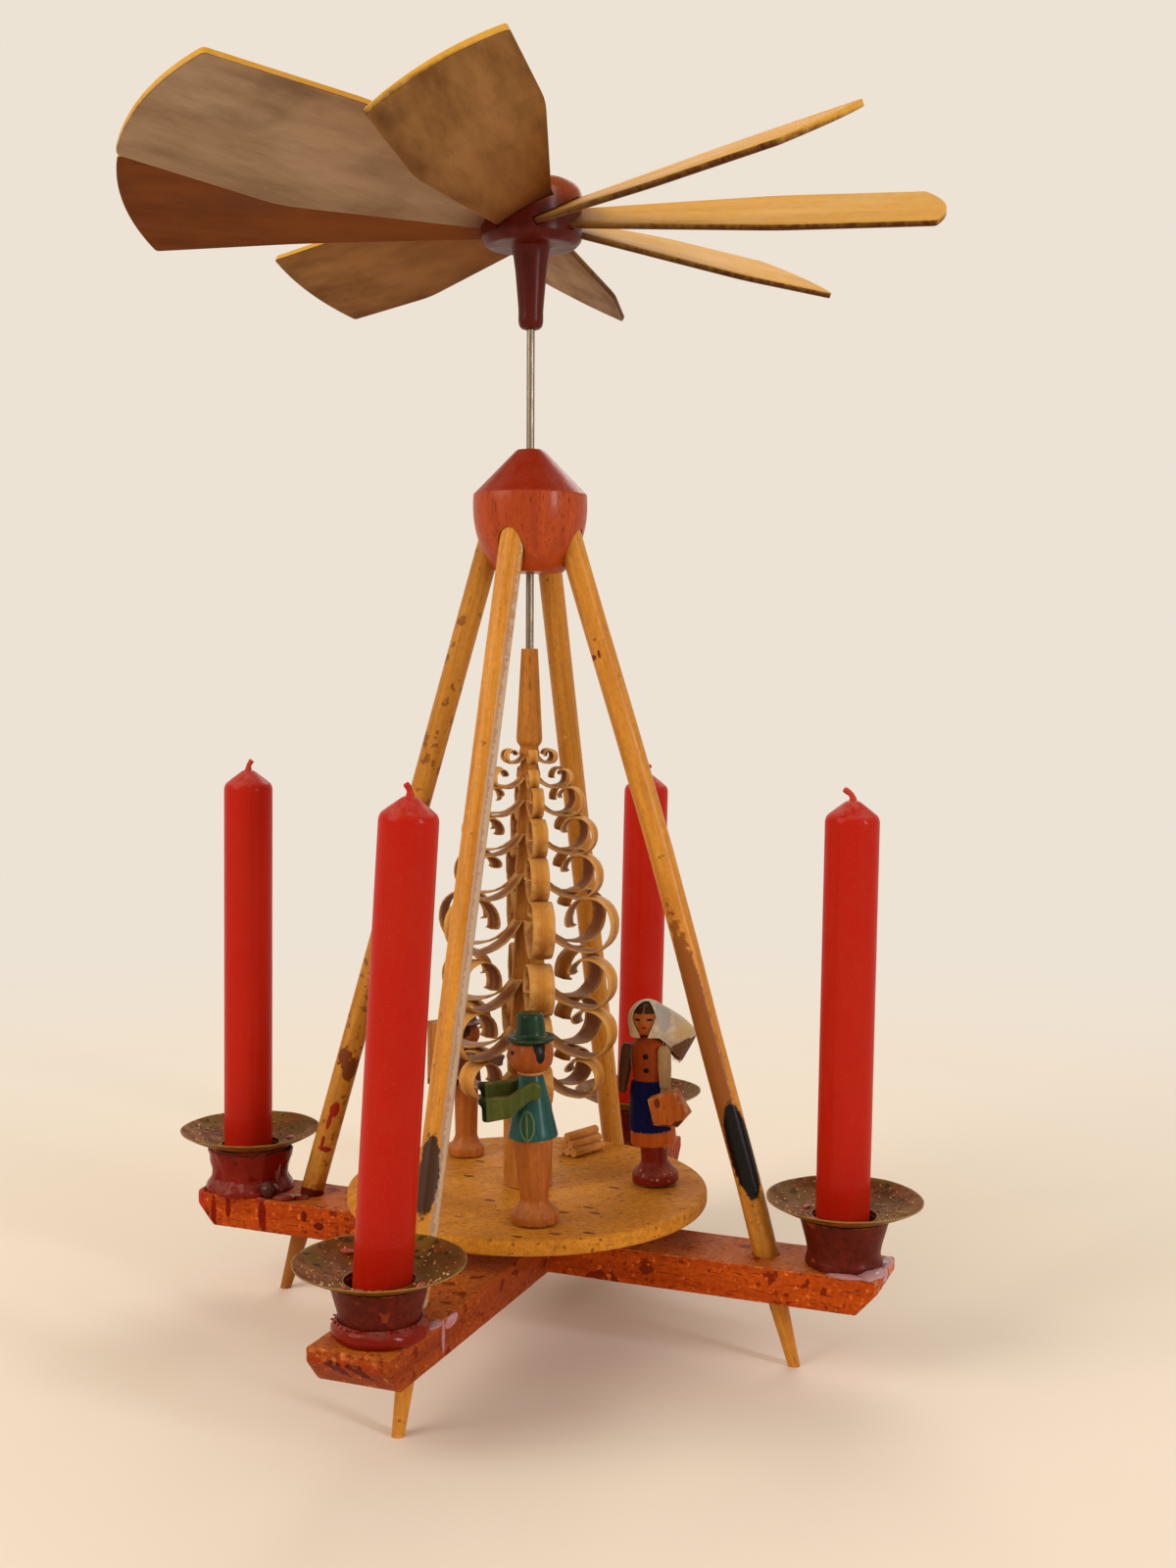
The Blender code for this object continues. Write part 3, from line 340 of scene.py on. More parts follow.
def wear_on(n, place, amount):
    return n.use(worn_edge, Place=place, Edge=n.attribute("edge"), Amount=amount)["Wear"]


def flecks_on(n, place, size, share):
    return n.use(flecks, Place=place, Size=size, Share=share)["Flecks"]


def set_surface(n, shader, height, depth, **values):
    """Sets the finish's values by the names of their sockets, and its relief, with the depth
    in millimetres."""
    for name, value in values.items():
        n.put(shader.inputs[name.replace("_", " ")], value)
    relief = n.add("ShaderNodeBump", {"Height": height, "Distance": 0.001 * depth}).outputs[0]
    n.put(shader.inputs["Normal"], relief)


def wooden(name, pale, dark, pore=None, pore_share=0.6, width=3.0, fibre=0.25, fade=None,
           top=None, mottle=0.2, fleck=(), own_marks=(), part_marks=(), wear=0.15,
           wear_colour=(214, 170, 120), dust=0.2, dust_colour=(205, 190, 165), rough=0.42,
           coat=0.15, bump=0.05):
    """Stained, lacquered or painted wood. fleck holds sets of (colour, size, share), top is a
    colour over what faces up, and fade is (colour, low height, high height)."""
    material, n, shader = new_finish(name)
    grain = n.attribute("grain", "Vector")
    tone = n.attribute("tone")
    place = object_place(n)
    figure = n.use(wood_figure, Place=grain, Width=width, Seed=n.times(tone, 3.0))
    colour = n.mix(figure["Streak"], rgb(*pale), rgb(*dark))
    fibres = n.span(figure["Fibre"], 0.35, 0.75, 0.0, fibre)
    colour = n.mix(fibres, colour, rgb(*(0.72 * c for c in dark)))
    pores = n.times(figure["Pores"], pore_share)
    if pore is not None:
        colour = n.mix(pores, colour, rgb(*pore))
    if fade is not None:
        tint, low, high = fade
        height = n.plus(n.along(place, "Z"), n.times(figure["Streak"], 0.06 * (high - low)))
        colour = n.mix(n.span(height, low, high), colour, rgb(*tint))
    if top is not None:
        over = n.times(n.span(n.attribute("up"), 0.5, 0.95),
                       n.span(n.noise(place, 0.12, 4.0, 0.6), 0.25, 0.55, 0.55, 1.0))
        colour = n.mix(over, colour, rgb(*top))
    blotch = n.span(n.noise(place, 0.7, 5.0, 0.7), 0.42, 0.62, 0.0, mottle)
    colour = n.mix(blotch, colour, rgb(*(0.66 * c for c in dark)))
    for tint, size, share in fleck:
        mask = n.times(flecks_on(n, place, size, share), 0.8)
        colour = n.mix(mask, colour, rgb(*tint))
    colour = add_marks(n, colour, grain, own_marks)
    colour = add_marks(n, colour, place, part_marks)
    worn = n.times(wear_on(n, place, wear), 0.8)
    colour = n.mix(worn, colour, rgb(*wear_colour))
    dusty = dust_on(n, place, dust)
    colour = n.mix(dusty, colour, rgb(*dust_colour))
    value = n.plus(1.0, n.times(tone, 0.16))
    colour = n.add("ShaderNodeHueSaturation", {"Value": value, "Color": colour}).outputs[0]
    roughness = n.span(n.noise(place, 0.25, 3.0), 0.3, 0.7, rough - 0.08, rough + 0.1)
    height = n.minus(n.times(figure["Fibre"], 0.5), pores)
    height = n.plus(height, n.times(n.noise(place, 0.5, 2.0), 0.8))
    set_surface(n, shader, height, bump, Base_Color=colour,
                Roughness=n.plus(roughness, n.times(dusty, 0.35), clamp=True),
                Coat_Weight=n.times(n.minus(1.0, dusty), coat), Coat_Roughness=0.25,
                Specular_IOR_Level=0.05)
    return material


def waxy(name, colour, bloom, bloom_share, rough, gloss=0.1):
    material, n, shader = new_finish(name)
    place = object_place(n)
    cloud = n.noise(place, 0.09, 4.0, 0.6)
    base = n.mix(n.span(cloud, 0.35, 0.7, 0.0, bloom_share), rgb(*colour), rgb(*bloom))
    scuff = n.noise(n.scaled(place, (1.0, 1.0, 0.15)), 1.2, 4.0, 0.7)
    base = n.mix(n.span(scuff, 0.6, 0.78, 0.0, 0.35), base, rgb(*bloom))
    base = n.mix(dust_on(n, place, 0.15), base, rgb(225, 205, 190))
    height = n.plus(n.noise(place, 0.35, 3.0), n.times(scuff, 0.3))
    set_surface(n, shader, height, 0.06, Base_Color=base,
                Roughness=n.span(cloud, 0.3, 0.7, rough - 0.06, rough + 0.12),
                Subsurface_Weight=0.12, Subsurface_Radius=(0.004, 0.0012, 0.0008),
                Specular_IOR_Level=0.04, Coat_Weight=gloss, Coat_Roughness=0.08)
    return material


def make_tray_brass():
    """Thin old brass, brown and olive, with dark stains and pale dried wax in its hollow."""
    material, n, shader = new_finish("tray_brass")
    place = object_place(n)
    cloud = n.span(n.noise(place, 0.22, 5.0, 0.65), 0.35, 0.65)
    colour = n.mix(cloud, rgb(134, 74, 18), rgb(88, 46, 12))
    olive = n.span(n.noise(n.shifted(place, (40.0, 10.0, 5.0)), 0.12, 4.0), 0.45, 0.65)
    colour = n.mix(olive, colour, rgb(112, 82, 24))
    dark = n.times(flecks_on(n, place, 1.9, 0.6), 0.7)
    colour = n.mix(dark, colour, rgb(46, 26, 10))
    pale = flecks_on(n, n.shifted(place, (3.0, 7.0, 1.0)), 1.1, 0.32)
    pale = n.times(pale, n.span(n.attribute("up"), 0.2, 0.8))
    colour = n.mix(n.times(pale, 0.7), colour, rgb(190, 138, 78))
    colour = n.mix(wear_on(n, place, 0.55), colour, rgb(150, 120, 60))
    height = n.plus(n.noise(place, 0.8, 4.0), n.times(pale, 0.6))
    set_surface(n, shader, height, 0.08, Base_Color=colour,
                Metallic=n.times(n.minus(1.0, pale), 0.12),
                Roughness=n.span(cloud, 0.0, 1.0, 0.42, 0.62), Specular_IOR_Level=0.06)
    return material


def make_spindle_steel():
    material, n, shader = new_finish("spindle_steel")
    place = object_place(n)
    drawn = n.noise(n.scaled(place, (3.0, 3.0, 0.05)), 4.0, 3.0)
    colour = n.mix(n.span(drawn, 0.35, 0.7), rgb(146, 132, 114), rgb(104, 92, 78))
    tarnish = n.span(n.noise(place, 0.3, 4.0), 0.55, 0.75, 0.0, 0.5)
    colour = n.mix(tarnish, colour, rgb(120, 95, 72))
    set_surface(n, shader, drawn, 0.02, Base_Color=colour, Metallic=1.0,
                Roughness=n.span(drawn, 0.3, 0.7, 0.22, 0.4))
    return material


def smoked_wood_with_shaded_rims(n, grain, place, figure, cloud):
    """Wood browned by smoke, or greyed by it where the blade's tone says, most of all near
    the hub; the rims that face down are darkened more, partly as soot and partly as painted shade."""
    smoked, up = n.attribute("tone"), n.attribute("up")
    brown = n.mix(n.span(cloud, 0.38, 0.62), rgb(122, 62, 20), rgb(102, 50, 14))
    olive = n.mix(n.span(cloud, 0.34, 0.66), rgb(156, 110, 56), rgb(102, 63, 23))
    grey = n.mix(n.span(cloud, 0.35, 0.62), rgb(174, 144, 114), rgb(144, 114, 86))
    soot = n.mix(n.span(smoked, 0.0, 0.5), brown, olive)
    soot = n.mix(n.span(smoked, 0.5, 1.0), soot, grey)
    near = n.plus(n.along(grain, "Z"), n.times(cloud, 50.0))
    near = n.times(n.span(near, 92.0, 34.0, 0.0, 0.7), n.minus(1.0, n.times(smoked, 0.75)))
    soot = n.mix(near, soot, rgb(128, 66, 22))
    soot = n.mix(n.span(figure["Fibre"], 0.4, 0.8, 0.0, 0.35), soot, rgb(80, 50, 24))
    burnt = n.noise(n.shifted(place, (30.0, 0.0, 9.0)), 0.045, 3.0)
    soot = n.mix(n.span(burnt, 0.55, 0.75, 0.0, 0.4), soot, rgb(72, 48, 26))
    # Soot and painted shade together: the rims that face down turn dark brown.
    rim = n.times(n.span(up, -0.15, -0.35), n.span(up, -0.8, -0.6))
    return n.mix(n.times(rim, 0.9), soot, rgb(66, 26, 10))


def make_blade_board():
    """Pale lime wood above, smoked wood below, with soot and painted shade on the rims that face
    down.
    """
    material, n, shader = new_finish("blade_board")
    grain = n.attribute("grain", "Vector")
    up = n.attribute("up")
    place = object_place(n)
    figure = n.use(wood_figure, Place=grain, Width=5.0, Seed=n.times(n.attribute("tone"), 9.0))
    above = n.mix(figure["Streak"], rgb(222, 162, 42), rgb(204, 142, 34))
    bleached = n.span(n.noise(place, 0.05, 3.0), 0.5, 0.7, 0.0, 0.5)
    above = n.mix(bleached, above, rgb(210, 164, 82))
    cloud = n.noise(n.scaled(grain, (1.0, 1.0, 0.25)), 0.09, 5.0, 0.6)
    below = smoked_wood_with_shaded_rims(n, grain, place, figure, cloud)
    colour = n.mix(n.span(up, 0.12, -0.12), above, below)
    edge = n.times(wear_on(n, place, 0.6), n.span(up, -0.5, 0.0, 0.12, 0.75))
    colour = n.mix(edge, colour, rgb(214, 168, 82))
    near_hub = n.span(n.plus(n.along(grain, "Z"), n.times(cloud, 12.0)), 26.0, 17.0)
    colour = n.mix(n.times(near_hub, 0.7), colour, rgb(92, 36, 16))
    colour = n.mix(dust_on(n, place, 0.2), colour, rgb(224, 192, 132))
    pits = n.times(flecks_on(n, place, 2.2, 0.12), 0.6)
    colour = n.mix(pits, colour, rgb(96, 54, 22))
    height = n.plus(n.times(figure["Fibre"], 0.6), figure["Streak"])
    set_surface(n, shader, height, 0.06, Base_Color=colour,
                Roughness=n.span(cloud, 0.3, 0.7, 0.55, 0.75), Specular_IOR_Level=0.08)
    return material


def make_shaving_wood():
    """Thin curls: honey outside, browner inside, whitish at the cut edges, with painted shade on
    the faces that point down.
    """
    material, n, shader = new_finish("shaving_wood")
    grain = n.attribute("grain", "Vector")
    place = object_place(n)
    figure = n.use(wood_figure, Place=grain, Width=1.6, Seed=n.attribute("tone"))
    outer = n.mix(figure["Streak"], rgb(206, 140, 44), rgb(180, 112, 32))
    inner = n.mix(figure["Streak"], rgb(160, 92, 36), rgb(122, 62, 22))
    colour = n.mix(n.span(n.attribute("inside"), 0.4, 0.6), outer, inner)
    # Painted shade: the faces that point down are darkened to a dark brown.
    colour = n.mix(n.span(n.attribute("up"), 0.3, -0.8, 0.0, 0.85), colour, rgb(104, 46, 15))
    colour = n.mix(n.span(figure["Fibre"], 0.5, 0.8, 0.0, 0.3), colour, rgb(132, 78, 32))
    colour = n.mix(n.times(wear_on(n, place, 0.5), 0.55), colour, rgb(218, 168, 92))
    colour = n.mix(dust_on(n, place, 0.22), colour, rgb(222, 188, 136))
    set_surface(n, shader, figure["Fibre"], 0.05, Base_Color=colour,
                Roughness=n.span(figure["Streak"], 0.0, 1.0, 0.5, 0.66), Specular_IOR_Level=0.25)
    return material


def make_kerchief_cloth():
    """Woven cloth, cream and grey-blue, with painted shade in brown on its hanging corner."""
    material, n, shader = new_finish("kerchief_cloth")
    weave = n.attribute("UVMap", "Vector")
    warp, weft = (n.maths("SINE", n.times(n.along(weave, axis), 11.0)) for axis in "XY")
    threads = n.times(warp, weft)
    place = n.attribute("grain", "Vector")
    cloud = n.noise(place, 0.5, 4.0, 0.6)
    colour = n.mix(n.span(cloud, 0.35, 0.65), rgb(236, 222, 194), rgb(204, 189, 162))
    colour = add_marks(n, colour, place, (
        ((1.2, 4.4, 1.0), (3.0, 2.2, 5.2), (180, 178, 170), 0.9),
        ((-2.6, 7.6, -3.4), (4.2, 3.6, 2.6), (228, 204, 150), 1.0),
        ((3.0, -3.2, -1.0), (2.6, 2.4, 6.0), (214, 192, 144), 0.5),
        # The last mark is painted shade: the hanging corner behind the shoulder is darkened to
        # brown.
        ((-6.0, 8.0, -8.2), (7.0, 6.0, 3.4), (112, 70, 38), 0.5)))
    colour = n.mix(n.span(threads, 0.0, 1.0, 0.0, 0.25), colour, rgb(120, 108, 96))
    stain = n.span(n.noise(place, 0.9, 3.0), 0.6, 0.75, 0.0, 0.5)
    colour = n.mix(stain, colour, rgb(140, 110, 84))
    set_surface(n, shader, threads, 0.05, Base_Color=colour, Roughness=0.9, Sheen_Weight=0.2)
    return material


# Meshes

def add_object(name, vertices, faces, edges=()):
    mesh = bpy.data.meshes.new(name)
    mesh.from_pydata([tuple(v) for v in vertices], edges, faces)
    thing = bpy.data.objects.new(name, mesh)
    scene.collection.objects.link(thing)
    return thing


def ring_faces(count, wide):
    """The faces of a run of rings, each of so many points, closed at both ends."""
    faces = []
    for i in range(count - 1):
        for k in range(wide):
            a, b = i * wide + k, i * wide + (k + 1) % wide
            faces.append((a, b, b + wide, a + wide))
    return faces + [tuple(range(wide)), tuple(range((count - 1) * wide, count * wide))]


def grid_faces(rows, columns):
    """The faces between rows + 1 lines of columns + 1 points."""
    return [(a, a + 1, a + columns + 2, a + columns + 1)
            for row in range(rows) for a in range(row * (columns + 1),
                                                  row * (columns + 1) + columns)]


def rounded(points, radius, count=3):
    """The same run of points with each inner corner rounded off."""
    points = [Vector(p) for p in points]
    result = [points[0]]
    for before, corner, after in zip(points, points[1:], points[2:]):
        back, ahead = before - corner, after - corner
        cut = min(radius, 0.42 * back.length, 0.42 * ahead.length)
        start, end = corner + back.normalized() * cut, corner + ahead.normalized() * cut
        for i in range(count + 1):
            t = i / count
            result.append(start * (1 - t) ** 2 + corner * 2 * t * (1 - t) + end * t ** 2)
    result.append(points[-1])
    return result


def divided(points, step):
    """The same run of points with more points on its long stretches."""
    points = [Vector(p) for p in points]
    result = [points[0]]
    for before, after in zip(points, points[1:]):
        pieces = max(1, math.ceil((after - before).length / step))
        result += [before.lerp(after, (i + 1) / pieces) for i in range(pieces)]
    return result


def lathe(name, profile, sides, ring=False):
    """A turned piece from (radius, height) points."""
    vertices, rings, faces = [], [], []
    for radius, height in profile:
        start = len(vertices)
        if radius < 1e-6:
            vertices.append((0.0, 0.0, height))
            rings.append([start] * sides)
        else:
            for i in range(sides):
                angle = 2 * math.pi * i / sides
                vertices.append((radius * math.cos(angle), radius * math.sin(angle), height))
            rings.append(list(range(start, start + sides)))
    pairs = list(zip(rings, rings[1:])) + ([(rings[-1], rings[0])] if ring else [])
    for upper, lower in pairs:
        for i in range(sides):
            j = (i + 1) % sides
            face = []
            for corner in (upper[i], lower[i], lower[j], upper[j]):
                if corner not in face:
                    face.append(corner)
            if len(face) > 2:
                faces.append(face)
    return add_object(name, vertices, faces)


def edit(thing, work_on):
    work = bmesh.new()
    work.from_mesh(thing.data)
    work_on(work)
    work.to_mesh(thing.data)
    work.free()
    return thing


def face_outwards(thing):
    return edit(thing, lambda work: bmesh.ops.recalc_face_normals(work, faces=work.faces))


def wobble(thing, size, scale, seed):
    """Moves the vertices a little, as hand work does."""
    shift = Vector((seed * 7.1, seed * 3.3, seed * 5.9))
    for vertex in thing.data.vertices:
        vertex.co += noise.noise_vector(vertex.co * scale + shift) * size
    return thing


def board(name, outline, thickness, bevel, inset):
    """A flat piece in the XY plane with softened edges."""
    half = thickness / 2
    count = len(outline)
    vertices = [(x, y, half) for x, y in outline] + [(x, y, -half) for x, y in outline]
    faces = [list(range(count)), list(reversed(range(count, 2 * count)))]
    faces += [[i, i + count, (i + 1) % count + count, (i + 1) % count] for i in range(count)]
    thing = add_object(name, vertices, faces)

    def soften(work):
        bmesh.ops.recalc_face_normals(work, faces=work.faces)
        rim = [e for e in work.edges if any(abs(f.normal.z) > 0.9 for f in e.link_faces)]
        bmesh.ops.bevel(work, geom=rim, offset=bevel, segments=2, profile=0.5,
                        affect="EDGES", clamp_overlap=True)
        flats = [f for f in work.faces if abs(f.normal.z) > 0.99 and len(f.verts) > 4]
        bmesh.ops.inset_individual(work, faces=flats, thickness=inset)

    return edit(thing, soften)


def tube(name, path, radii, sides):
    """A round bent piece along a run of points, closed at both ends."""
    path = [Vector(p) for p in path]
    vertices = []
    side = None
    for i, point in enumerate(path):
        ahead = path[min(i + 1, len(path) - 1)] - path[max(i - 1, 0)]
        ahead.normalize()
        if side is None:
            side = ahead.orthogonal().normalized()
        side = (side - ahead * side.dot(ahead)).normalized()
        other = ahead.cross(side)
        for k in range(sides):
            angle = 2 * math.pi * k / sides
            vertices.append(point + (side * math.cos(angle) + other * math.sin(angle)) * radii[i])
    return add_object(name, vertices, ring_faces(len(path), sides))


def lump(name, centre, reach, seed, rings=10, sides=16, rough=0.12):
    """A rounded lump, stretched or flattened by its reach along each axis."""
    profile = [(math.sin(math.pi * i / rings), math.cos(math.pi * i / rings))
               for i in range(rings + 1)]
    thing = lathe(name, profile, sides)
    for vertex in thing.data.vertices:
        way = vertex.co.copy()
        grow = 1.0 + rough * noise.noise(way * 1.7 + Vector((seed * 3.7, seed, 0.0)))
        vertex.co = Vector(centre) + Vector(a * b * grow for a, b in zip(way, reach))
    return thing


def cut_away(thing, other):
    step = thing.modifiers.new(other.name, "BOOLEAN")
    step.operation = "DIFFERENCE"
    step.solver = "EXACT"
    step.object = other
    evaluate(thing)
    bpy.data.objects.remove(other, do_unlink=True)
    return thing


def evaluate(thing):
    """Applies the modifiers and leaves a plain mesh."""
    bpy.context.view_layer.update()
    graph = bpy.context.evaluated_depsgraph_get()
    mesh = bpy.data.meshes.new_from_object(thing.evaluated_get(graph))
    thing.modifiers.clear()
    old = thing.data
    thing.data = mesh
    bpy.data.meshes.remove(old)
    return thing


def joined(name, things):
    """Several meshes as one, each still its own shell."""
    work = bmesh.new()
    for thing in things:
        work.from_mesh(thing.data)
        bpy.data.objects.remove(thing, do_unlink=True)
    mesh = bpy.data.meshes.new(name)
    work.to_mesh(mesh)
    work.free()
    whole = bpy.data.objects.new(name, mesh)
    scene.collection.objects.link(whole)
    return whole


def put(thing, matrix):
    thing.data.transform(matrix)
    return thing


def write_attribute(mesh, name, values, kind="FLOAT", domain="POINT"):
    layer = mesh.attributes.new(name, kind, domain)
    layer.data.foreach_set("vector" if kind == "FLOAT_VECTOR" else "value",
                           np.asarray(values, np.float32).ravel())


def measure(mesh, grain, tone, keep_grain):
    """What the finishes read: the way along the grain, what faces up, the sharp edges and
    the piece's own tone."""
    work = bmesh.new()
    work.from_mesh(mesh)
    work.normal_update()
    edges = []
    for vertex in work.verts:
        sharpest = max((e.calc_face_angle_signed(0.0) for e in vertex.link_edges), default=0.0)
        edges.append(min(1.0, max(0.0, sharpest) / math.radians(38)))
    work.free()
    ups = [corner.vector.z for corner in mesh.corner_normals]
    write_attribute(mesh, "up", ups, domain="CORNER")
    write_attribute(mesh, "edge", edges)
    write_attribute(mesh, "tone", [tone] * len(mesh.vertices))
    if not keep_grain:
        write_attribute(mesh, "grain", [grain @ v.co for v in mesh.vertices], "FLOAT_VECTOR")


def settle(thing, body, finish, replaces=(), grain=None, tone=0.0, angle=38,
           keep_grain=False, closed=True):
    """The last steps for every piece: outward normals, what its finish reads, metres, its
    finish, its body and the nodes that it stands for."""
    def tidy(work):
        bmesh.ops.remove_doubles(work, verts=work.verts, dist=0.0005)
        bmesh.ops.recalc_face_normals(work, faces=work.faces)

    if thing.modifiers:
        evaluate(thing)
    if closed:
        edit(thing, tidy)
    mesh = thing.data
    mesh.polygons.foreach_set("use_smooth", [True] * len(mesh.polygons))
    mesh.set_sharp_from_angle(angle=math.radians(angle))
    measure(mesh, grain or Matrix.Identity(4), tone, keep_grain)
    mesh.transform(to_metres)
    mesh.materials.clear()
    mesh.materials.append(finish)
    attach(thing, body)
    if replaces:
        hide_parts(*replaces)
    return thing


def on_circle(azimuth, radius, height=0.0):
    return Vector((radius * math.cos(azimuth), radius * math.sin(azimuth), height))


def turn_z(angle):
    return Matrix.Rotation(angle, 4, "Z")


# Base cross and legs

def leg_place(azimuth):
    return (Matrix.Translation(on_circle(azimuth, leg_foot_radius)) @ turn_z(azimuth)
            @ Matrix.Rotation(-leg_splay, 4, "Y"))


def leg_rod(name, azimuth, grow, sides, end):
    slope = (leg_radius - leg_tip_radius) / leg_taper
    profile = [(0.0, end + grow), (leg_radius + grow, end + grow),
               (leg_radius + grow, leg_taper + 1.0), (leg_radius - 0.1 + grow, leg_taper - 1.0),
               (leg_tip_radius + grow - 2.0 * slope, -2.0), (0.0, -2.0)]
    profile = profile[:1] + divided(profile[1:-1], 6.0) + profile[-1:]
    rod = lathe(name, profile, sides)
    if azimuth == 0.0:
        for vertex in rod.data.vertices:
            vertex.co.x += np.interp(vertex.co.z, right_leg_heights, right_leg_bow)
    return put(rod, leg_place(azimuth))


def make_leg(arm, tone, finish):
    azimuth = math.radians(holders[arm].azimuth)
    leg = leg_rod("turned_leg_" + arm, azimuth, 0.0, 32, leg_end)

    def cut_at_floor(work):
        cut = bmesh.ops.bisect_plane(work, geom=work.verts[:] + work.edges[:] + work.faces[:],
                                     plane_co=(0, 0, 0), plane_no=(0, 0, 1), clear_inner=True)
        rim = [e for e in cut["geom_cut"] if isinstance(e, bmesh.types.BMEdge)]
        bmesh.ops.contextual_create(work, geom=rim)

    edit(leg, cut_at_floor)
    settle(leg, "stand", finish, ("leg_" + arm,),
           grain=leg_place(azimuth).inverted(), tone=tone)


def bar_section(x, half):
    """The bar's cross-section at one place along it, as (across, height) points."""
    near_end = max(0.0, abs(x) - (half - bar_end_chamfer)) / bar_end_chamfer
    low = bar_underside + near_end * (bar_top - bar_end_flat - bar_underside)
    side = bar_width / 2
    corners = [Vector(p) for p in ((-side, bar_top), (side, bar_top), (side, low), (-side, low))]
    soft, margin = 0.45, 1.3
    ring = []
    for k, corner in enumerate(corners):
        after = corners[(k + 1) % 4]
        back, ahead = (corners[k - 1] - corner).normalized(), (after - corner).normalized()
        ring += [corner + back * margin, corner + back * soft,
                 corner + (back + ahead) * soft * 0.3, corner + ahead * soft,
                 corner + ahead * margin]
        span = (after - corner).length
        pieces = 6 if span > 15 else 2
        ring += [corner + ahead * (margin + (span - 2 * margin) * i / pieces)
                 for i in range(1, pieces)]
    if abs(x) == half:
        ring = [(y * (1 - bar_end_round / side), min(z, bar_top - bar_end_round)) for y, z in ring]
    return ring


def make_bar(name, length, turn, cutters, node, finish, tone):
    half = length / 2
    inner = half - bar_end_chamfer
    stations = [-half, -half + bar_end_round, -half + 1.2]
    stations += [-half + 1.2 + (bar_end_chamfer - 1.6) * i / 3 for i in (1, 2)]
    stations += [-inner - 0.4, -inner + 0.2, -inner + 1.2]
    count = 60
    stations += [(-inner + 1.2) + (2 * inner - 2.4) * i / count for i in range(1, count)]
    stations += [-s for s in reversed(stations[:8])]
    rings = [[(x, y, z) for y, z in bar_section(x, half)] for x in stations]
    bar = add_object(name, sum(rings, []), ring_faces(len(rings), len(rings[0])))
    wobble(face_outwards(bar), 0.09, 0.16, turn)
    put(bar, turn_z(turn))
    for cutter in cutters:
        cut_away(bar, cutter)
    settle(bar, "stand", finish, (node,),
           grain=Matrix.Rotation(math.pi / 2, 4, "Y") @ turn_z(-turn), tone=tone, angle=35)


def block(name, low, high):
    corners = [(x, y, z) for x in (low[0], high[0]) for y in (low[1], high[1])
               for z in (low[2], high[2])]
    faces = [(0, 1, 3, 2), (4, 6, 7, 5), (0, 4, 5, 1), (2, 3, 7, 6), (0, 2, 6, 4), (1, 5, 7, 3)]
    return face_outwards(add_object(name, corners, faces))


def leg_cutter(arm):
    return leg_rod("cutter", math.radians(holders[arm].azimuth), fit, 32, leg_end)


def make_cross():
    """Two bars, half-lapped in the middle, each with the holes for its two legs, and the
    lower one with the hole for the pin."""
    notch, past, above, below = bar_width / 2 + fit, 14.0, 30.0, 16.0
    upper = block("lap", (-notch, -past, lap_height - fit / 2), (notch, past, above))
    make_bar("sawn_bar_left_right", long_bar, 0.0,
             [upper, leg_cutter("left"), leg_cutter("right")], "base_bar_left_right",
             long_bar_finish, 0.0)
    lower = block("lap", (-past, -notch, below), (past, notch, lap_height + fit / 2))
    bore = lathe("bore", [(0.0, above), (3.3, above), (3.3, lap_height), (0.0, lap_height)], 32)
    make_bar("sawn_bar_front_back", cross_bar, math.pi / 2,
             [lower, leg_cutter("front"), leg_cutter("back"), bore], "base_bar_front_back",
             cross_bar_finish, 0.1)


def make_bearing(finish):
    points = [(0.0, 26.25), (1.7, 28.25), (3.0, 28.25), (3.0, 22.85), (0.0, 22.85)]
    bearing = lathe("brass_bearing", divided(rounded(points, 0.25, 2), 1.0), 40)
    settle(bearing, "stand", finish, ("pivot_bearing",))


# Ball

def ball_profile():
    """The ball with its cone, bored for the shaft: its belly is part of an ellipse."""
    half_width, foot_half, belly_height = 14.4, 8.3, 16.7
    belly = ball_underside + belly_height
    drop = belly_height / math.sqrt(1.0 - (foot_half / half_width) ** 2)
    start, end = math.asin((belly - ball_rim) / drop), math.asin(belly_height / drop)
    points = [(shaft_bore, ball_top), (3.3, ball_top), (half_width - 0.25, ball_rim + 0.15)]
    for i in range(14):
        angle = start + (end - start) * i / 13
        points.append((half_width * math.cos(angle), belly - drop * math.sin(angle)))
    points.append((shaft_bore, ball_underside))
    return divided(rounded(points, 0.45, 2), 1.6)


def make_ball(finish):
    ball = lathe("turned_ball", ball_profile(), 72, ring=True)
    for arm in holders:
        cut_away(ball, leg_cutter(arm))
    settle(ball, "stand", finish, ("apex_ball",), angle=40)


# Candle holders

def tray_height(radius):
    share = (radius - tray_hole) / (tray_radius - tray_hole)
    return cup_seat + tray_hole_height + tray_dish * max(share, 0.0) ** 1.5


def holder_centre(holder):
    return (on_circle(math.radians(holder.azimuth), candle_circle)
            + on_circle(lean_azimuth, holder.cup_shift))


def make_tray(arm, holder, finish):
    steps, flat_to = 16, 11.5
    radii = [tray_hole + (tray_radius - 0.25 - tray_hole) * i / steps for i in range(steps + 1)]
    upper = [(r, tray_height(r)) for r in radii]
    rim = [(tray_radius, tray_height(tray_radius) - 0.12),
           (tray_radius - 0.05, tray_height(tray_radius) - 0.38)]
    lower = [(r, tray_height(r) - tray_metal) for r in reversed(radii)]
    tray = lathe("dished_tray_" + arm, upper + rim + lower, 72, ring=True)
    seed = holder.azimuth * 0.13
    for vertex in tray.data.vertices:
        x, y, _ = vertex.co
        share = max(0.0, (math.hypot(x, y) - flat_to) / (tray_radius - flat_to))
        vertex.co.z += 0.28 * share * noise.noise(Vector((x * 0.07, y * 0.07, seed)))
        vertex.co.z += 0.07 * share * noise.noise(Vector((x * 0.3, y * 0.3, seed + 4.0)))
    put(tray, Matrix.Translation(holder_centre(holder)))
    settle(tray, "stand", finish, ("drip_tray_" + arm,))


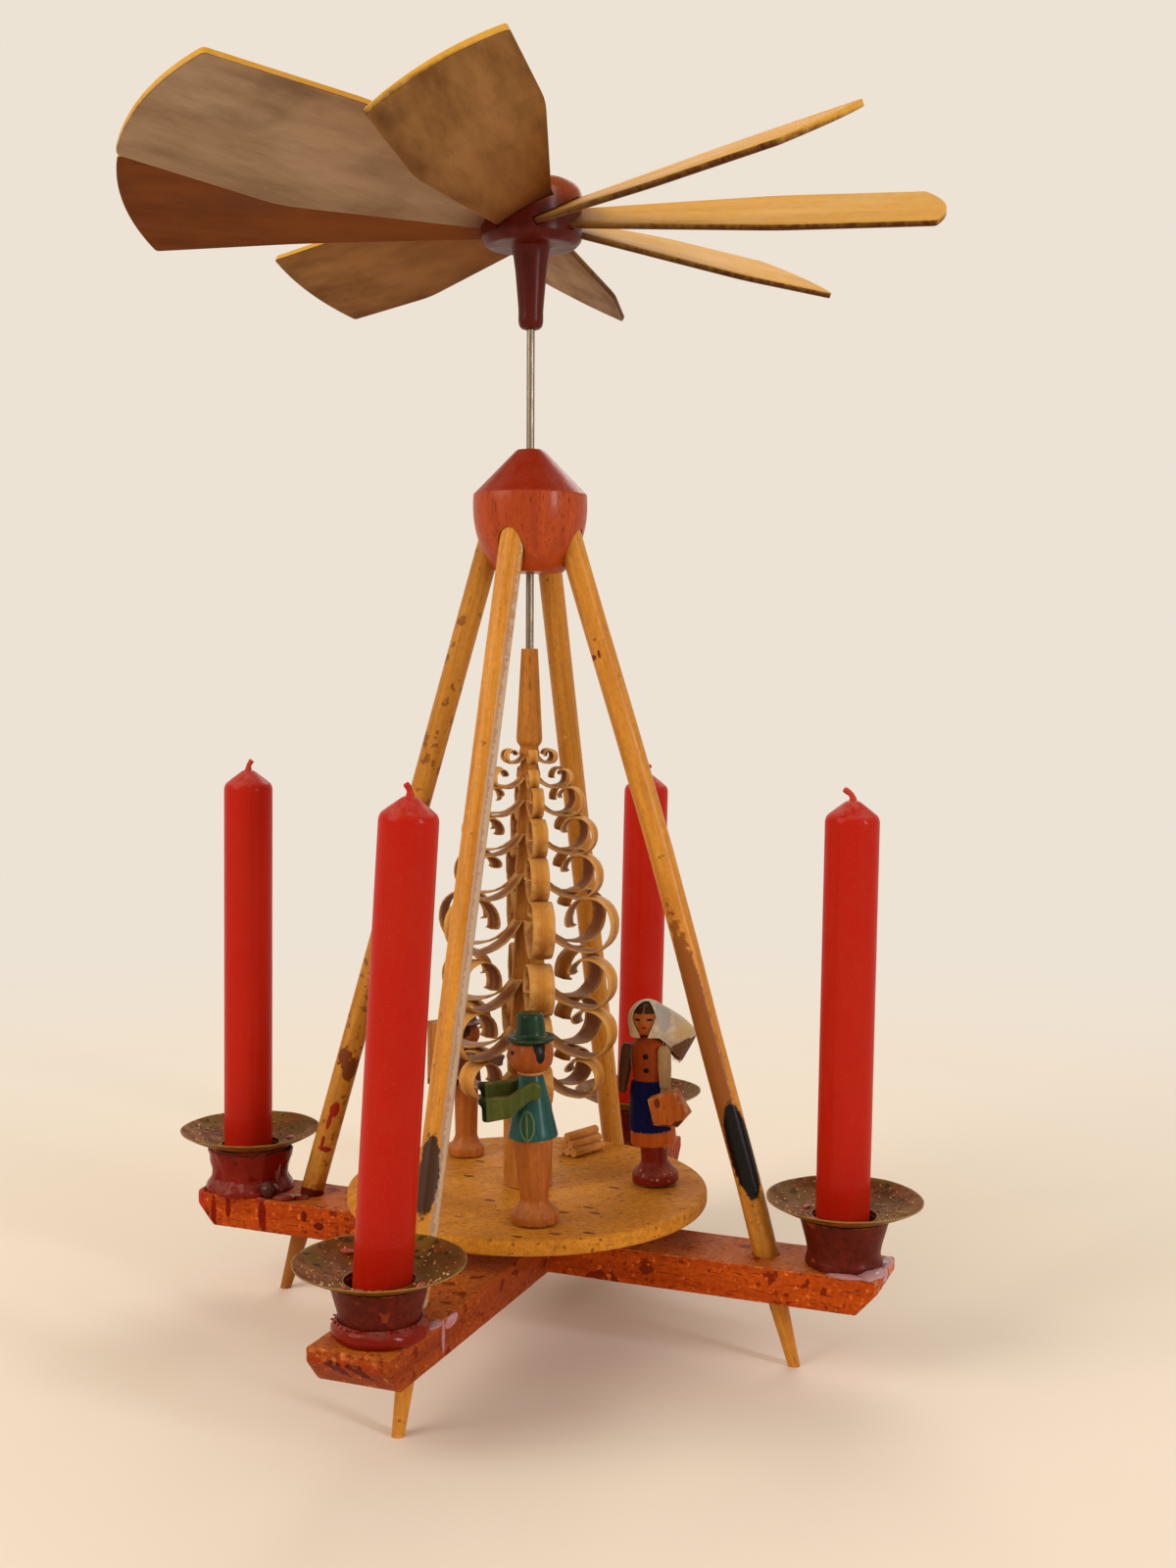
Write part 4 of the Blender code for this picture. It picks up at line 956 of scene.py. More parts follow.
def make_cup(arm, holder, finish):
    rim_drop = tray_metal + fit
    mouth, waist = 8.3, cup_seat + 3.2
    top = tray_height(11.1) - rim_drop
    points = [(0.0, cup_floor), (7.4, cup_floor), (7.4, tray_height(mouth) - rim_drop - 0.6),
              (mouth, tray_height(mouth) - rim_drop), (11.1, top), (10.55, top - 1.5),
              (10.0, waist + 5.1), (9.2, waist + 2.2), (8.8, waist), (8.95, waist - 1.1),
              (9.3, cup_seat + 1.2), (9.3, cup_seat), (0.0, cup_seat)]
    cup = lathe("turned_cup_" + arm, divided(rounded(points, 0.6, 3), 1.5), 64)
    put(cup, Matrix.Translation(holder_centre(holder)))
    settle(cup, "stand", finish, ("candle_cup_" + arm,),
           grain=Matrix.Rotation(math.pi / 2, 4, "X"))


def candle_place(holder):
    """Where a candle stands in its cup, and the height in it that it leans about."""
    pivot = (cup_floor + tray_height(tray_hole)) / 2
    lean = math.radians(holder.lean)
    place = (holder_centre(holder) + on_circle(lean_azimuth, holder.candle_shift)
             + Vector((0.0, 0.0, pivot + candle_radius * math.sin(lean))))
    return Matrix.Translation(place) @ Quaternion(lean_hinge, lean).to_matrix().to_4x4(), pivot


def make_candle(arm, holder, wax, wick_wax):
    matrix, pivot = candle_place(holder)
    foot, top = candle_foot - pivot, candle_foot + holder.length - pivot
    shoulder = top - 4.2
    profile = [(0.0, top - 0.05), (1.0, top - 0.1), (1.75, top - 0.45), (4.2, shoulder + 1.9),
               (6.1, shoulder + 0.35), (candle_radius, shoulder - 0.8),
               (candle_radius, foot + 0.5), (6.0, foot), (0.0, foot)]
    profile = profile[:1] + divided(rounded(profile[1:-1], 0.9, 4), 5.0) + profile[-1:]
    candle = lathe("tree_candle_" + arm, profile, 48)
    for vertex in candle.data.vertices:
        x, y, z = vertex.co
        swell = 1.0 + 0.006 * noise.noise(Vector((x * 0.1, y * 0.1, z * 0.05 + holder.azimuth)))
        vertex.co.x, vertex.co.y = min(1.0, swell) * x, min(1.0, swell) * y
    put(candle, matrix)
    body = "taper_" + arm
    settle(candle, body, wax, ("candle_" + arm,))
    bend = holder.wick_bend
    path = [(0.0, 0.0, top - 1.0), (0.0, 0.0, top + 0.2), (0.06 * bend, 0.0, top + 0.7),
            (0.22 * bend, 0.05, top + 1.25), (0.48 * bend, 0.0, top + 1.8),
            (0.78 * bend, -0.05, top + 2.25), (bend, 0.0, top + 2.55)]
    wick = tube("dipped_wick_" + arm, path, (0.85, 0.9, 0.72, 0.66, 0.7, 0.74, 0.55), 14)
    wobble(wick, 0.1, 1.3, holder.azimuth)
    put(wick, matrix @ turn_z(lean_azimuth))
    settle(wick, body, wick_wax, ("wick_" + arm,), angle=70)


# Turntable and tree

def make_disc(finish):
    hole = 4.3
    points = [(hole, disc_top), (disc_radius - 0.8, disc_top),
              (disc_radius - 0.15, disc_top - 0.5), (disc_radius, disc_top - 1.1),
              (disc_radius, disc_underside + 0.9), (disc_radius - 0.3, disc_underside + 0.3),
              (disc_radius - 1.0, disc_underside), (hole, disc_underside)]
    disc = lathe("turned_disc", divided(rounded(points, 0.35, 2), 2.0), 144, ring=True)
    settle(disc, "rotor", finish, ("turntable_disc",),
           grain=Matrix.Rotation(math.pi / 2, 4, "X") @ turn_z(0.6))


def make_shaft_and_pin(finish):
    shaft = lathe("drawn_shaft", [(0.0, 283.7), (0.95, 283.7), (1.0, 283.4)]
                  + divided([(1.0, 283.0), (1.0, 155.6)], 4.0) + [(0.9, 155.2), (0.0, 155.2)],
                  24)
    settle(shaft, "rotor", finish, ("wind_shaft",))
    pin = lathe("ground_pin", [(0.0, 49.55), (0.9, 49.55), (1.0, 49.3), (1.0, 29.05),
                               (0.3, 27.2), (0.0, 26.55)], 24)
    settle(pin, "rotor", finish, ("pivot_pin",))


def core_radius(height):
    """The radius of the tree's stick, under the shavings."""
    return trunk_foot_radius + ((trunk_tip_radius - trunk_foot_radius) * (height - trunk_foot)
                                / (trunk_tip - trunk_foot))


def make_trunk(finish):
    """The stick in the middle of the tree, with a flat below each shaving."""
    tiers = [tier[0] for tier in curl_tiers]
    outer = [(2.1, 175.2), (3.3, 152.6), (3.2, 151.6), (2.4, 150.2)]
    for upper, lower in zip(tiers, tiers[1:] + [trunk_foot]):
        outer += [(core_radius(upper) + 0.45, upper + 0.6),
                  (core_radius(upper) - 0.25, upper - 1.2)]
    outer += [(trunk_foot_radius, 60.2), (6.1, 58.2), (6.3, 56.5), (6.3, 37.7)]
    profile = [(0.0, 154.9), (shaft_bore, 154.9), (shaft_bore, 175.2)]
    profile += divided(rounded(outer, 0.4, 2), 1.5)
    profile += [(4.0, 37.7), (4.0, disc_underside), (shaft_bore, disc_underside),
                (shaft_bore, 48.8), (0.0, 48.8)]
    trunk = lathe("pared_trunk", profile, 48)
    for vertex in trunk.data.vertices:
        x, y, height = vertex.co
        if 59.0 < height < 151.0 and math.hypot(x, y) > 1.6:
            azimuth = math.atan2(y, x) - curl_first_azimuth
            flat = 1.0 - 0.07 * abs(math.sin(3 * azimuth))
            flat += 0.03 * noise.noise(Vector((math.cos(azimuth), math.sin(azimuth),
                                               height * 0.12)))
            vertex.co.x *= flat
            vertex.co.y *= flat
    settle(trunk, "rotor", finish, ("shaved_tree",), tone=0.1)


def shaving_path(tier, turns, hook):
    """Middle line of a shaving as (distance from the axis, height), with a small tight hook
    at its end."""
    height, reach, radius, _ = tier
    middle = reach - radius
    root = middle - core_radius(height) + 0.4
    under = 1.12 * radius
    quarter = math.pi / 2
    count = 24
    points = []
    for i in range(count + 1):
        swept = 2 * math.pi * turns * i / count
        if swept < quarter:
            distance = under + (root - under) * (1 - swept / quarter) ** 2
        else:
            distance = radius * (1.12 - 0.12 * min(1.0, (swept - quarter) / quarter))
        angle = math.pi + swept
        points.append(Vector((middle + distance * math.cos(angle), 0.0,
                              height + distance * math.sin(angle))))
    ahead = points[-1] - points[-2]
    ahead.normalize()
    count = 10
    step = math.pi * 0.75 / count
    for i in range(count):
        bend = radius + (hook - radius) * min(1.0, (i + 1) / 3)
        ahead = Matrix.Rotation(-step, 3, "Y") @ ahead
        points.append(points[-1] + ahead * bend * step)
    return points


def shaving_shell(tier, turns, hook, skew, seed):
    """One solid shaving in the XZ plane: vertices, faces, and along, across and inside."""
    path = shaving_path(tier, turns, hook)
    width = tier[3]
    root_width = min(width, 1.15 * (core_radius(tier[0]) - 0.4))
    chance = random.Random(seed)
    vertices, grain, inside = [], [], []
    run = 0.0
    for i, point in enumerate(path):
        ahead = (path[min(i + 1, len(path) - 1)] - path[max(i - 1, 0)]).normalized()
        out = Vector((ahead.z, 0.0, -ahead.x))
        share = min(1.0, i / 8)
        half = (root_width + (width - root_width) * share) / 2
        half *= 1.0 - 0.25 * max(0.0, i / len(path) - 0.85) / 0.15
        half += 0.05 * chance.uniform(-1, 1)
        thick = 0.5 - 0.2 * i / len(path)
        centre = point + Vector((0.0, skew * (i / len(path)) ** 1.5, 0.0))
        run += (point - path[i - 1]).length if i else 0.0
        lip = min(0.16, thick / 2)
        section = ((-half, 0.0, 0.5), (-half + lip, 0.5, 0.0), (0.0, 0.5, 0.0),
                   (half - lip, 0.5, 0.0), (half, 0.0, 0.5), (half - lip, -0.5, 1.0),
                   (0.0, -0.5, 1.0), (-half + lip, -0.5, 1.0))
        for across, lift, side in section:
            bow = 0.12 * width * share * (1 - (across / half) ** 2) * 0.35
            vertices.append(centre + Vector((0.0, across, 0.0)) + out * (thick * lift + bow))
            grain.append((across, thick * lift, run))
            inside.append(side)
    return vertices, ring_faces(len(path), len(section)), grain, inside


def make_shaving_ring_tree(variants):
    """Puts one shaving of each tier on each of the columns, every time another of its
    variants, turned and stretched a little by chance."""
    tree, n, start, end = new_tree("shaving_rings", [
        ("Columns", WHOLE, 6), ("Tiers", WHOLE, 9), ("First Azimuth", FLOAT, 0.0),
        ("Sway", FLOAT, 0.04), ("Stretch", FLOAT, 0.03), ("Seed", WHOLE, 5)])
    kinds = n.add("GeometryNodeInputNamedAttribute", {"Name": "kind"}, data_type="INT")
    shells = n.add("GeometryNodeSplitToInstances", {
        "Geometry": start["Geometry"], "Group ID": kinds.outputs[0]}, domain="POINT")
    number = n.times(start["Columns"], start["Tiers"])
    points = n.add("GeometryNodePoints", {"Count": number}).outputs[0]
    index = n.add("GeometryNodeInputIndex").outputs[0]
    tier = n.maths("FLOOR", n.over(index, start["Columns"]))
    column = n.minus(index, n.times(tier, start["Columns"]))

    def chance(low, high, offset):
        return n.add("FunctionNodeRandomValue", {
            2: low, 3: high, "ID": index, "Seed": n.plus(start["Seed"], offset)},
            data_type="FLOAT").outputs[1]

    pick = n.maths("FLOOR", chance(0.0, variants - 0.001, 1.0))
    sway = n.times(chance(-1.0, 1.0, 2.0), start["Sway"])
    angle = n.times(column, n.over(2 * math.pi, start["Columns"]))
    angle = n.plus(n.plus(angle, start["First Azimuth"]), sway)
    reach = n.minus(1.0, n.times(chance(0.0, 1.0, 3.0), start["Stretch"]))
    end_tree(n, start, end, {
        "Points": points, "Instance": shells.outputs["Instances"], "Pick Instance": True,
        "Instance Index": n.plus(n.times(tier, float(variants)), pick),
        "Rotation": n.turned(n.add("ShaderNodeCombineXYZ", {2: angle}).outputs[0]),
        "Scale": n.add("ShaderNodeCombineXYZ", {0: reach, 1: reach, 2: 1.0}).outputs[0]})
    return tree


def run_tree(thing, tree, **values):
    """Puts the tree on the object with its values, by socket identifier, and keeps the
    result as a plain mesh."""
    step = thing.modifiers.new(tree.name, "NODES")
    step.node_group = tree
    for item in tree.interface.items_tree:
        key = item.name.replace(" ", "_")
        if item.in_out == "INPUT" and key in values:
            step[item.identifier] = values[key]
    return evaluate(thing)


def make_shavings(finish):
    """Five variants of a shaving for each tier, set round the stick by the tree."""
    turns_of = (0.84, 0.88, 0.93, 0.86, 0.97)
    vertices, faces, grain, inside, kind = [], [], [], [], []
    chance = random.Random(11)
    for number, tier in enumerate(curl_tiers):
        for variant, turns in enumerate(turns_of):
            turns += chance.uniform(-0.02, 0.02)
            hook = tier[2] * (0.1 + 0.08 * chance.random())
            skew = chance.uniform(-0.8, 0.8)
            part = shaving_shell(tier, turns, hook, skew, number * 10 + variant)
            offset = len(vertices)
            vertices += part[0]
            faces += [tuple(i + offset for i in face) for face in part[1]]
            grain += part[2]
            inside += part[3]
            kind += [number * len(turns_of) + variant] * len(part[0])
    thing = face_outwards(add_object("rolled_shavings", vertices, faces))
    write_attribute(thing.data, "grain", grain, "FLOAT_VECTOR")
    write_attribute(thing.data, "inside", inside)
    layer = thing.data.attributes.new("kind", "INT", "POINT")
    layer.data.foreach_set("value", kind)
    run_tree(thing, make_shaving_ring_tree(len(turns_of)), Columns=6, Tiers=len(curl_tiers),
             First_Azimuth=curl_first_azimuth, Sway=0.045, Stretch=0.03, Seed=5, Finish=finish)
    settle(thing, "rotor", finish, ("shaved_tree",), keep_grain=True,
           closed=False, angle=50)


# Fan

def blade_outline(blade, grow):
    """A blade's outline along X, from its end in the hub to its bowed tip."""
    inner, root, tip = blade_root - grow, blade_root_half + grow, blade.tip_width / 2 + grow
    bend = blade.bend_width / 2 + grow
    corner = blade.tip_radius - tip_bow + grow
    arc = []
    count = 16
    for i in range(1, count):
        share = 2 * i / count - 1
        arc.append((corner + tip_bow * (1 - share ** 2), tip * share))
    lower = rounded([(inner, -root), (blade_bend, -bend), (corner, -tip)] + arc[:2], 5.0, 4)
    upper = rounded(arc[-2:] + [(corner, tip), (blade_bend, bend), (inner, root)], 5.0, 4)
    return [tuple(p) for p in lower[:-1]] + arc[1:-1] + [tuple(p) for p in upper[1:]]


def blade_place(blade):
    return (Matrix.Translation((0.0, 0.0, blade_height)) @ turn_z(math.radians(blade.azimuth))
            @ Matrix.Rotation(-math.radians(blade.rise), 4, "Y")
            @ Matrix.Rotation(math.radians(blade.pitch), 4, "X"))


def hub_points():
    """The turned hub and its neck, bored from below for the shaft."""
    edge = 3.4
    points = [(0.0, hub_top)]
    for i in range(9):
        angle = math.radians(90 - 90 * i / 8)
        points.append((hub_radius - edge + edge * math.cos(angle),
                       hub_top - edge + edge * math.sin(angle)))
    points += [(hub_radius, hub_underside + 1.7), (hub_radius - 1.6, hub_underside + 0.1),
               (4.9, hub_underside), (4.5, hub_underside - 1.5), (3.9, hub_underside - 6.0),
               (3.35, hub_underside - 12.4), (3.1, neck_end + 4.5), (3.12, neck_end + 1.8),
               (2.8, neck_end + 0.6), (2.0, neck_end), (shaft_bore, neck_end),
               (shaft_bore, 284.0), (0.0, 284.0)]
    return points[:1] + divided(rounded(points[1:-1], 0.6, 2), 1.5) + points[-1:]


def make_fan(hub_finish, blade_finish):
    hub = lathe("slotted_hub", hub_points(), 72)
    for vertex in hub.data.vertices:
        if vertex.co.z > hub_underside - 0.5 and math.hypot(vertex.co.x, vertex.co.y) > 6:
            vertex.co += noise.noise_vector(vertex.co * 0.22) * 0.12
    for number, blade in enumerate(blades, 1):
        place = blade_place(blade)
        outline = blade_outline(blade, 0.0)
        thing = board(f"cut_blade_{number}", outline, blade_thickness, 0.22, 0.6)
        settle(put(thing, place), "rotor", blade_finish,
               (f"fan_blade_{number}",), tone=blade.soot, angle=50,
               grain=Matrix.Rotation(-math.pi / 2, 4, "Y") @ place.inverted())
        slot = board("slot", blade_outline(blade, fit), blade_thickness + 2 * fit, 0.05, 0.3)
        cut_away(hub, face_outwards(put(slot, place)))
    settle(hub, "rotor", hub_finish, ("fan_hub",), angle=40)


# Figures

def stand_place(figure):
    """Where a figure stands, which way it faces and how far it leans to the left."""
    stand = stands[figure]
    lean = math.radians(stand.lean)
    place = on_circle(math.radians(stand.azimuth), stand.radius,
                      figure_floor + stand.foot_radius * math.sin(lean))
    return (Matrix.Translation(place) @ Matrix.Rotation(-lean, 4, lean_hinge)
            @ turn_z(math.radians(stand.facing)))


def figure_lathe(name, profile, sides, matrix, soft=0.5):
    points = divided(rounded(profile, soft, 3), 1.2)
    return put(lathe(name, points, sides), matrix)


def dress(thing, matrix, slot, paint, *nodes, angle=38):
    """The last steps for a piece of a figure, whose grain stands as the figure does."""
    settle(thing, "rotor", paints[paint], nodes, grain=matrix.inverted(), angle=angle)


def legs_profile(foot, ankle, hip, foot_height, height):
    return [(0.0, height), (hip, height), (ankle, foot_height + 1.6),
            (0.75 * foot, foot_height), (foot, 0.62 * foot_height), (foot, 0.0), (0.0, 0.0)]


def sleeve_outline(length, shoulder, cuff_top, cuff_bottom, hand):
    """A flat sleeve that reaches forward from a round shoulder, with a small hand."""
    points = []
    for i in range(14):
        angle = math.radians(75 + 210 * i / 13)
        points.append((shoulder * math.cos(angle), shoulder * math.sin(angle)))
    points += [(0.5 * length, 0.88 * cuff_bottom), (length, cuff_bottom),
               (length + 0.7 * hand, cuff_bottom + 0.2 * hand),
               (length + 0.75 * hand, cuff_top - 1.25 * hand),
               (length + 1.3 * hand, cuff_top - 0.75 * hand),
               (length + 1.15 * hand, cuff_top - 0.1 * hand),
               (length + 0.6 * hand, cuff_top), (length, cuff_top),
               (0.5 * length, cuff_top + 0.1 * shoulder)]
    return [tuple(p) for p in rounded(points, 0.4 * hand, 2)]


def flat_arm(name, outline, thickness, offset, height, matrix, trimmer):
    arm = board(name, outline, thickness, 0.45, 0.4)
    put(arm, matrix @ Matrix.Translation((0.0, offset, height))
        @ Matrix.Rotation(math.pi / 2, 4, "X"))
    return cut_away(face_outwards(arm), trimmer)


def head_points(radius, centre, top, bottom):
    start, end = math.asin((top - centre) / radius), math.asin((bottom - centre) / radius)
    points = [(0.0, top)]
    for i in range(15):
        angle = start + (end - start) * i / 14
        points.append((radius * math.cos(angle), centre + radius * math.sin(angle)))
    return points + [(0.0, bottom)]


def with_nose(head, matrix, height, size):
    """A small carved nose on the front of a head."""
    to_local = matrix.inverted()
    for vertex in head.data.vertices:
        local = to_local @ vertex.co
        if local.x > 0:
            away = math.hypot(local.y, (local.z - height) * 0.8)
            push = size * math.exp(-(away / 0.75) ** 2)
            vertex.co += matrix.to_3x3() @ Vector((push, 0.0, 0.0))
    return head


def hat_points(brim, brim_radius, brim_thickness, crown_radius, crown_height):
    top = brim + crown_height
    return [(0.0, top), (crown_radius - 1.0, top), (crown_radius - 0.45, top - 0.5),
            (crown_radius - 0.05, brim + 1.4 * brim_thickness),
            (crown_radius + 0.5, brim + brim_thickness),
            (brim_radius - 0.5, brim + brim_thickness), (brim_radius, brim + 0.5 * brim_thickness),
            (brim_radius - 0.5, brim), (0.0, brim)]


def make_forester():
    matrix = stand_place("forester")
    legs = figure_lathe("forester_turned_legs", legs_profile(5.95, 3.3, 4.9, 3.6, 20.5), 36, matrix)
    dress(legs, matrix, "leg_wood", "forester_legs", "forester_legs")

    def coat_points(grow):
        return [(0.0, 36.0 + grow), (2.7 + grow, 36.0 + grow), (4.3 + grow, 29.0),
                (6.1 + grow, 20.8 - grow), (0.0, 20.8 - grow)]

    coat = figure_lathe("forester_turned_coat", coat_points(0.0), 48, matrix, 0.25)
    dress(coat, matrix, "green_lacquer", "coat", "forester_coat")
    head = figure_lathe("forester_carved_head", head_points(5.4, 40.8, 43.6, 36.3), 48, matrix, 0.1)
    with_nose(head, matrix, 40.3, 0.55)
    dress(head, matrix, "face_wood", "forester_face", "forester_head")
    hat = figure_lathe("forester_turned_hat", hat_points(43.9, 6.05, 1.2, 3.7, 6.8), 48, matrix,
                       0.35)
    dress(hat, matrix, "green_lacquer", "hat", "forester_hat")
    collar = [(2.6, 36.9), (3.1, 37.2), (3.45, 36.8), (3.35, 36.2), (2.9, 35.85), (2.55, 36.3)]
    collar = put(lathe("forester_collar", collar, 40, ring=True), matrix)
    dress(collar, matrix, "face_wood", "collar", angle=80)
    for side, cuff_top, cuff_bottom, label in ((1, -1.2, -7.0, "left"), (-1, 0.6, -4.6, "right")):
        trimmer = put(lathe("trimmer", coat_points(fit), 48), matrix)
        arm = flat_arm("forester_cut_arm_" + label,
                       sleeve_outline(11.0, 2.2, cuff_top, cuff_bottom, 1.6), 2.2, 4.2 * side,
                       32.6, matrix, trimmer)
        dress(arm, matrix, "olive_paint", "olive_sleeve", "forester_arm_" + label, angle=45)


def scarf_point(turn, fall):
    """The kerchief round the head: turn from one cheek to the other, fall from crown to hem.
    It closes under the chin and stands away to a point behind the left shoulder."""
    closing = max(0.0, fall - 0.6) / 0.4
    cheek = math.radians(41) * (1 - 0.7 * closing)
    azimuth = cheek + 2 * (math.pi - cheek) * turn
    polar = math.radians(10 + 112 * fall)
    radius = 4.7
    behind = math.exp(-((math.degrees(azimuth) - 128) / 44) ** 2)
    flare = min(1.0, max(0.0, fall - 0.3) / 0.5)
    tuck = max(0.0, fall - 0.8) / 0.2
    out = radius * math.sin(polar) + behind * 8.2 * flare ** 1.1 * (1 - 0.5 * tuck)
    if fall > 0.7:
        out = max(out, 0.95 * radius)
    drop = 1.6 * closing + behind * (3.2 * flare + 4.6 * tuck)
    out += fall * (0.1 + 0.3 * behind * flare) * math.sin(azimuth * 9 + 2.2 * fall)
    return Vector((out * math.cos(azimuth), out * math.sin(azimuth),
                   radius * math.cos(polar) - drop))


def make_fringe_tree():
    """Short loose threads along the hem, each turned and sized by chance."""
    tree, n, start, end = new_tree("fringe_threads", [
        ("Spacing", FLOAT, 0.3), ("Length", FLOAT, 1.0), ("Thickness", FLOAT, 0.05),
        ("Seed", WHOLE, 3)])
    hem = n.add("GeometryNodeMeshToCurve", {0: start["Geometry"]}).outputs[0]
    points = n.add("GeometryNodeCurveToPoints", {"Curve": hem, "Length": start["Spacing"]},
                   mode="LENGTH").outputs[0]
    bend = n.add("GeometryNodeCurveQuadraticBezier", {
        "Resolution": 4, "Start": (0.0, 0.0, 0.1), "Middle": (0.18, 0.1, -0.5),
        "End": (-0.12, 0.05, -1.0)}).outputs[0]
    ring = n.add("GeometryNodeCurvePrimitiveCircle", {
        "Resolution": 5, "Radius": start["Thickness"]}).outputs[0]
    thread = n.add("GeometryNodeCurveToMesh", {"Curve": bend, "Profile Curve": ring,
                                               "Fill Caps": True}).outputs[0]
    tilt = n.random((-0.7, -0.7, 0.0), (0.7, 0.7, 6.28), start["Seed"])
    size = n.add("FunctionNodeRandomValue", {2: 0.35, 3: 1.0, "Seed": start["Seed"]},
                 data_type="FLOAT").outputs[1]
    scale = n.add("ShaderNodeCombineXYZ", {0: 1.0, 1: 1.0, 2: n.times(size, start["Length"])})
    end_tree(n, start, end, {"Points": points, "Instance": thread, "Rotation": n.turned(tilt),
                             "Scale": scale.outputs[0]})
    return tree


def make_scarf(place, cloth):
    """The kerchief with a hemmed wall, and loose threads along a part of its hem."""
    around, down, hem_steps = 72, 30, 60
    vertices, weave = [], []
    for i in range(around + 1):
        for j in range(down + 1):
            vertices.append(place @ scarf_point(i / around, j / down))
            weave.append((i / around * 27.0, j / down * 12.0))
    faces = grid_faces(around, down) + [tuple(i * (down + 1) for i in range(around + 1))]
    scarf = add_object("tied_kerchief", vertices, faces)
    layer = scarf.data.uv_layers.new(name="UVMap")
    for loop in scarf.data.loops:
        layer.data[loop.index].uv = weave[loop.vertex_index]
    face_outwards(scarf)
    wall = scarf.modifiers.new("Cloth", "SOLIDIFY")
    wall.thickness = 0.36
    wall.offset = 1.0
    evaluate(scarf)
    hem = [place @ scarf_point(i / hem_steps, 1.0) for i in range(10, 34)]
    fringe = add_object("kerchief_fringe", hem, [], [(i, i + 1) for i in range(len(hem) - 1)])
    run_tree(fringe, make_fringe_tree(), Spacing=0.35, Length=1.1, Thickness=0.05, Seed=3,
             Finish=cloth)
    local = place.inverted()
    settle(scarf, "rotor", cloth, ("woman_headscarf",), grain=local,
           closed=False, angle=70)
    settle(fringe, "rotor", cloth, grain=local, closed=False, angle=80)
    return scarf, fringe


def hanging_arm(name, place, tilt_out, tilt_forward, matrix, trimmer):
    profile = [(0.0, 0.0), (1.2, -0.4), (1.7, -1.6), (1.72, -6.0), (1.5, -9.6), (1.4, -10.9),
               (1.15, -11.1), (1.3, -12.2), (1.05, -13.0), (0.0, -13.4)]
    arm = figure_lathe(name, profile, 28, Matrix.Identity(4), 0.3)
    put(arm, matrix @ Matrix.Translation(place)
        @ Matrix.Rotation(math.radians(-tilt_forward), 4, "Y")
        @ Matrix.Rotation(math.radians(tilt_out), 4, "X"))
    return cut_away(arm, trimmer)


def body_points(grow, low, high):
    """The woman's turned body between two heights."""
    whole = [(2.6, 38.0), (4.3, 36.4), (4.7, 33.0), (4.5, 27.4), (5.19, 24.0), (5.9, 11.3),
             (5.9, 10.1)]

    def radius_at(height):
        for (r1, h1), (r2, h2) in zip(whole, whole[1:]):
            if h2 <= height <= h1:
                return r1 + (r2 - r1) * (h1 - height) / (h1 - h2)
        return whole[0][0]

    points = [(0.0, high + grow), (radius_at(high) + grow, high + grow)]
    points += [(r + grow, h) for r, h in whole if low < h < high]
    points += [(radius_at(low) + grow, low - grow), (0.0, low - grow)]
    return points


def apron_radius(height):
    """How far the apron lies from the middle of the body, on the bodice and on the skirt."""
    if height > 24.0:
        return 4.55 + 0.66 * (27.4 - height) / 3.4
    return 5.24 + 0.056 * (24.0 - height)


def apron_panel(matrix):
    """A thin curved panel on the front of the body, rippled towards its hem."""
    across, down = 18, 12
    top, hem, half_angle, thickness, wave = 27.0, 14.0, math.radians(66), 0.3, 0.1
    vertices = []
    for layer in (thickness, 0.0):
        for j in range(down + 1):
            height = top + (hem - top) * j / down
            for i in range(across + 1):
                angle = half_angle * (2 * i / across - 1)
                ripple = wave * math.sin(angle * 9) * j / down
                radius = apron_radius(height) + layer + ripple * (layer > 0)
                vertices.append((radius * math.cos(angle), radius * math.sin(angle), height))
    row, size = across + 1, (across + 1) * (down + 1)
    faces = grid_faces(down, across)
    faces += [tuple(i + size for i in face) for face in faces]
    rim = ([i for i in range(row)] + [j * row + across for j in range(1, down + 1)]
           + [down * row + i for i in range(across - 1, -1, -1)]
           + [j * row for j in range(down - 1, 0, -1)])
    faces += [(a, b, b + size, a + size) for a, b in zip(rim, rim[1:] + rim[:1])]
    return put(add_object("woman_apron", vertices, faces), matrix)


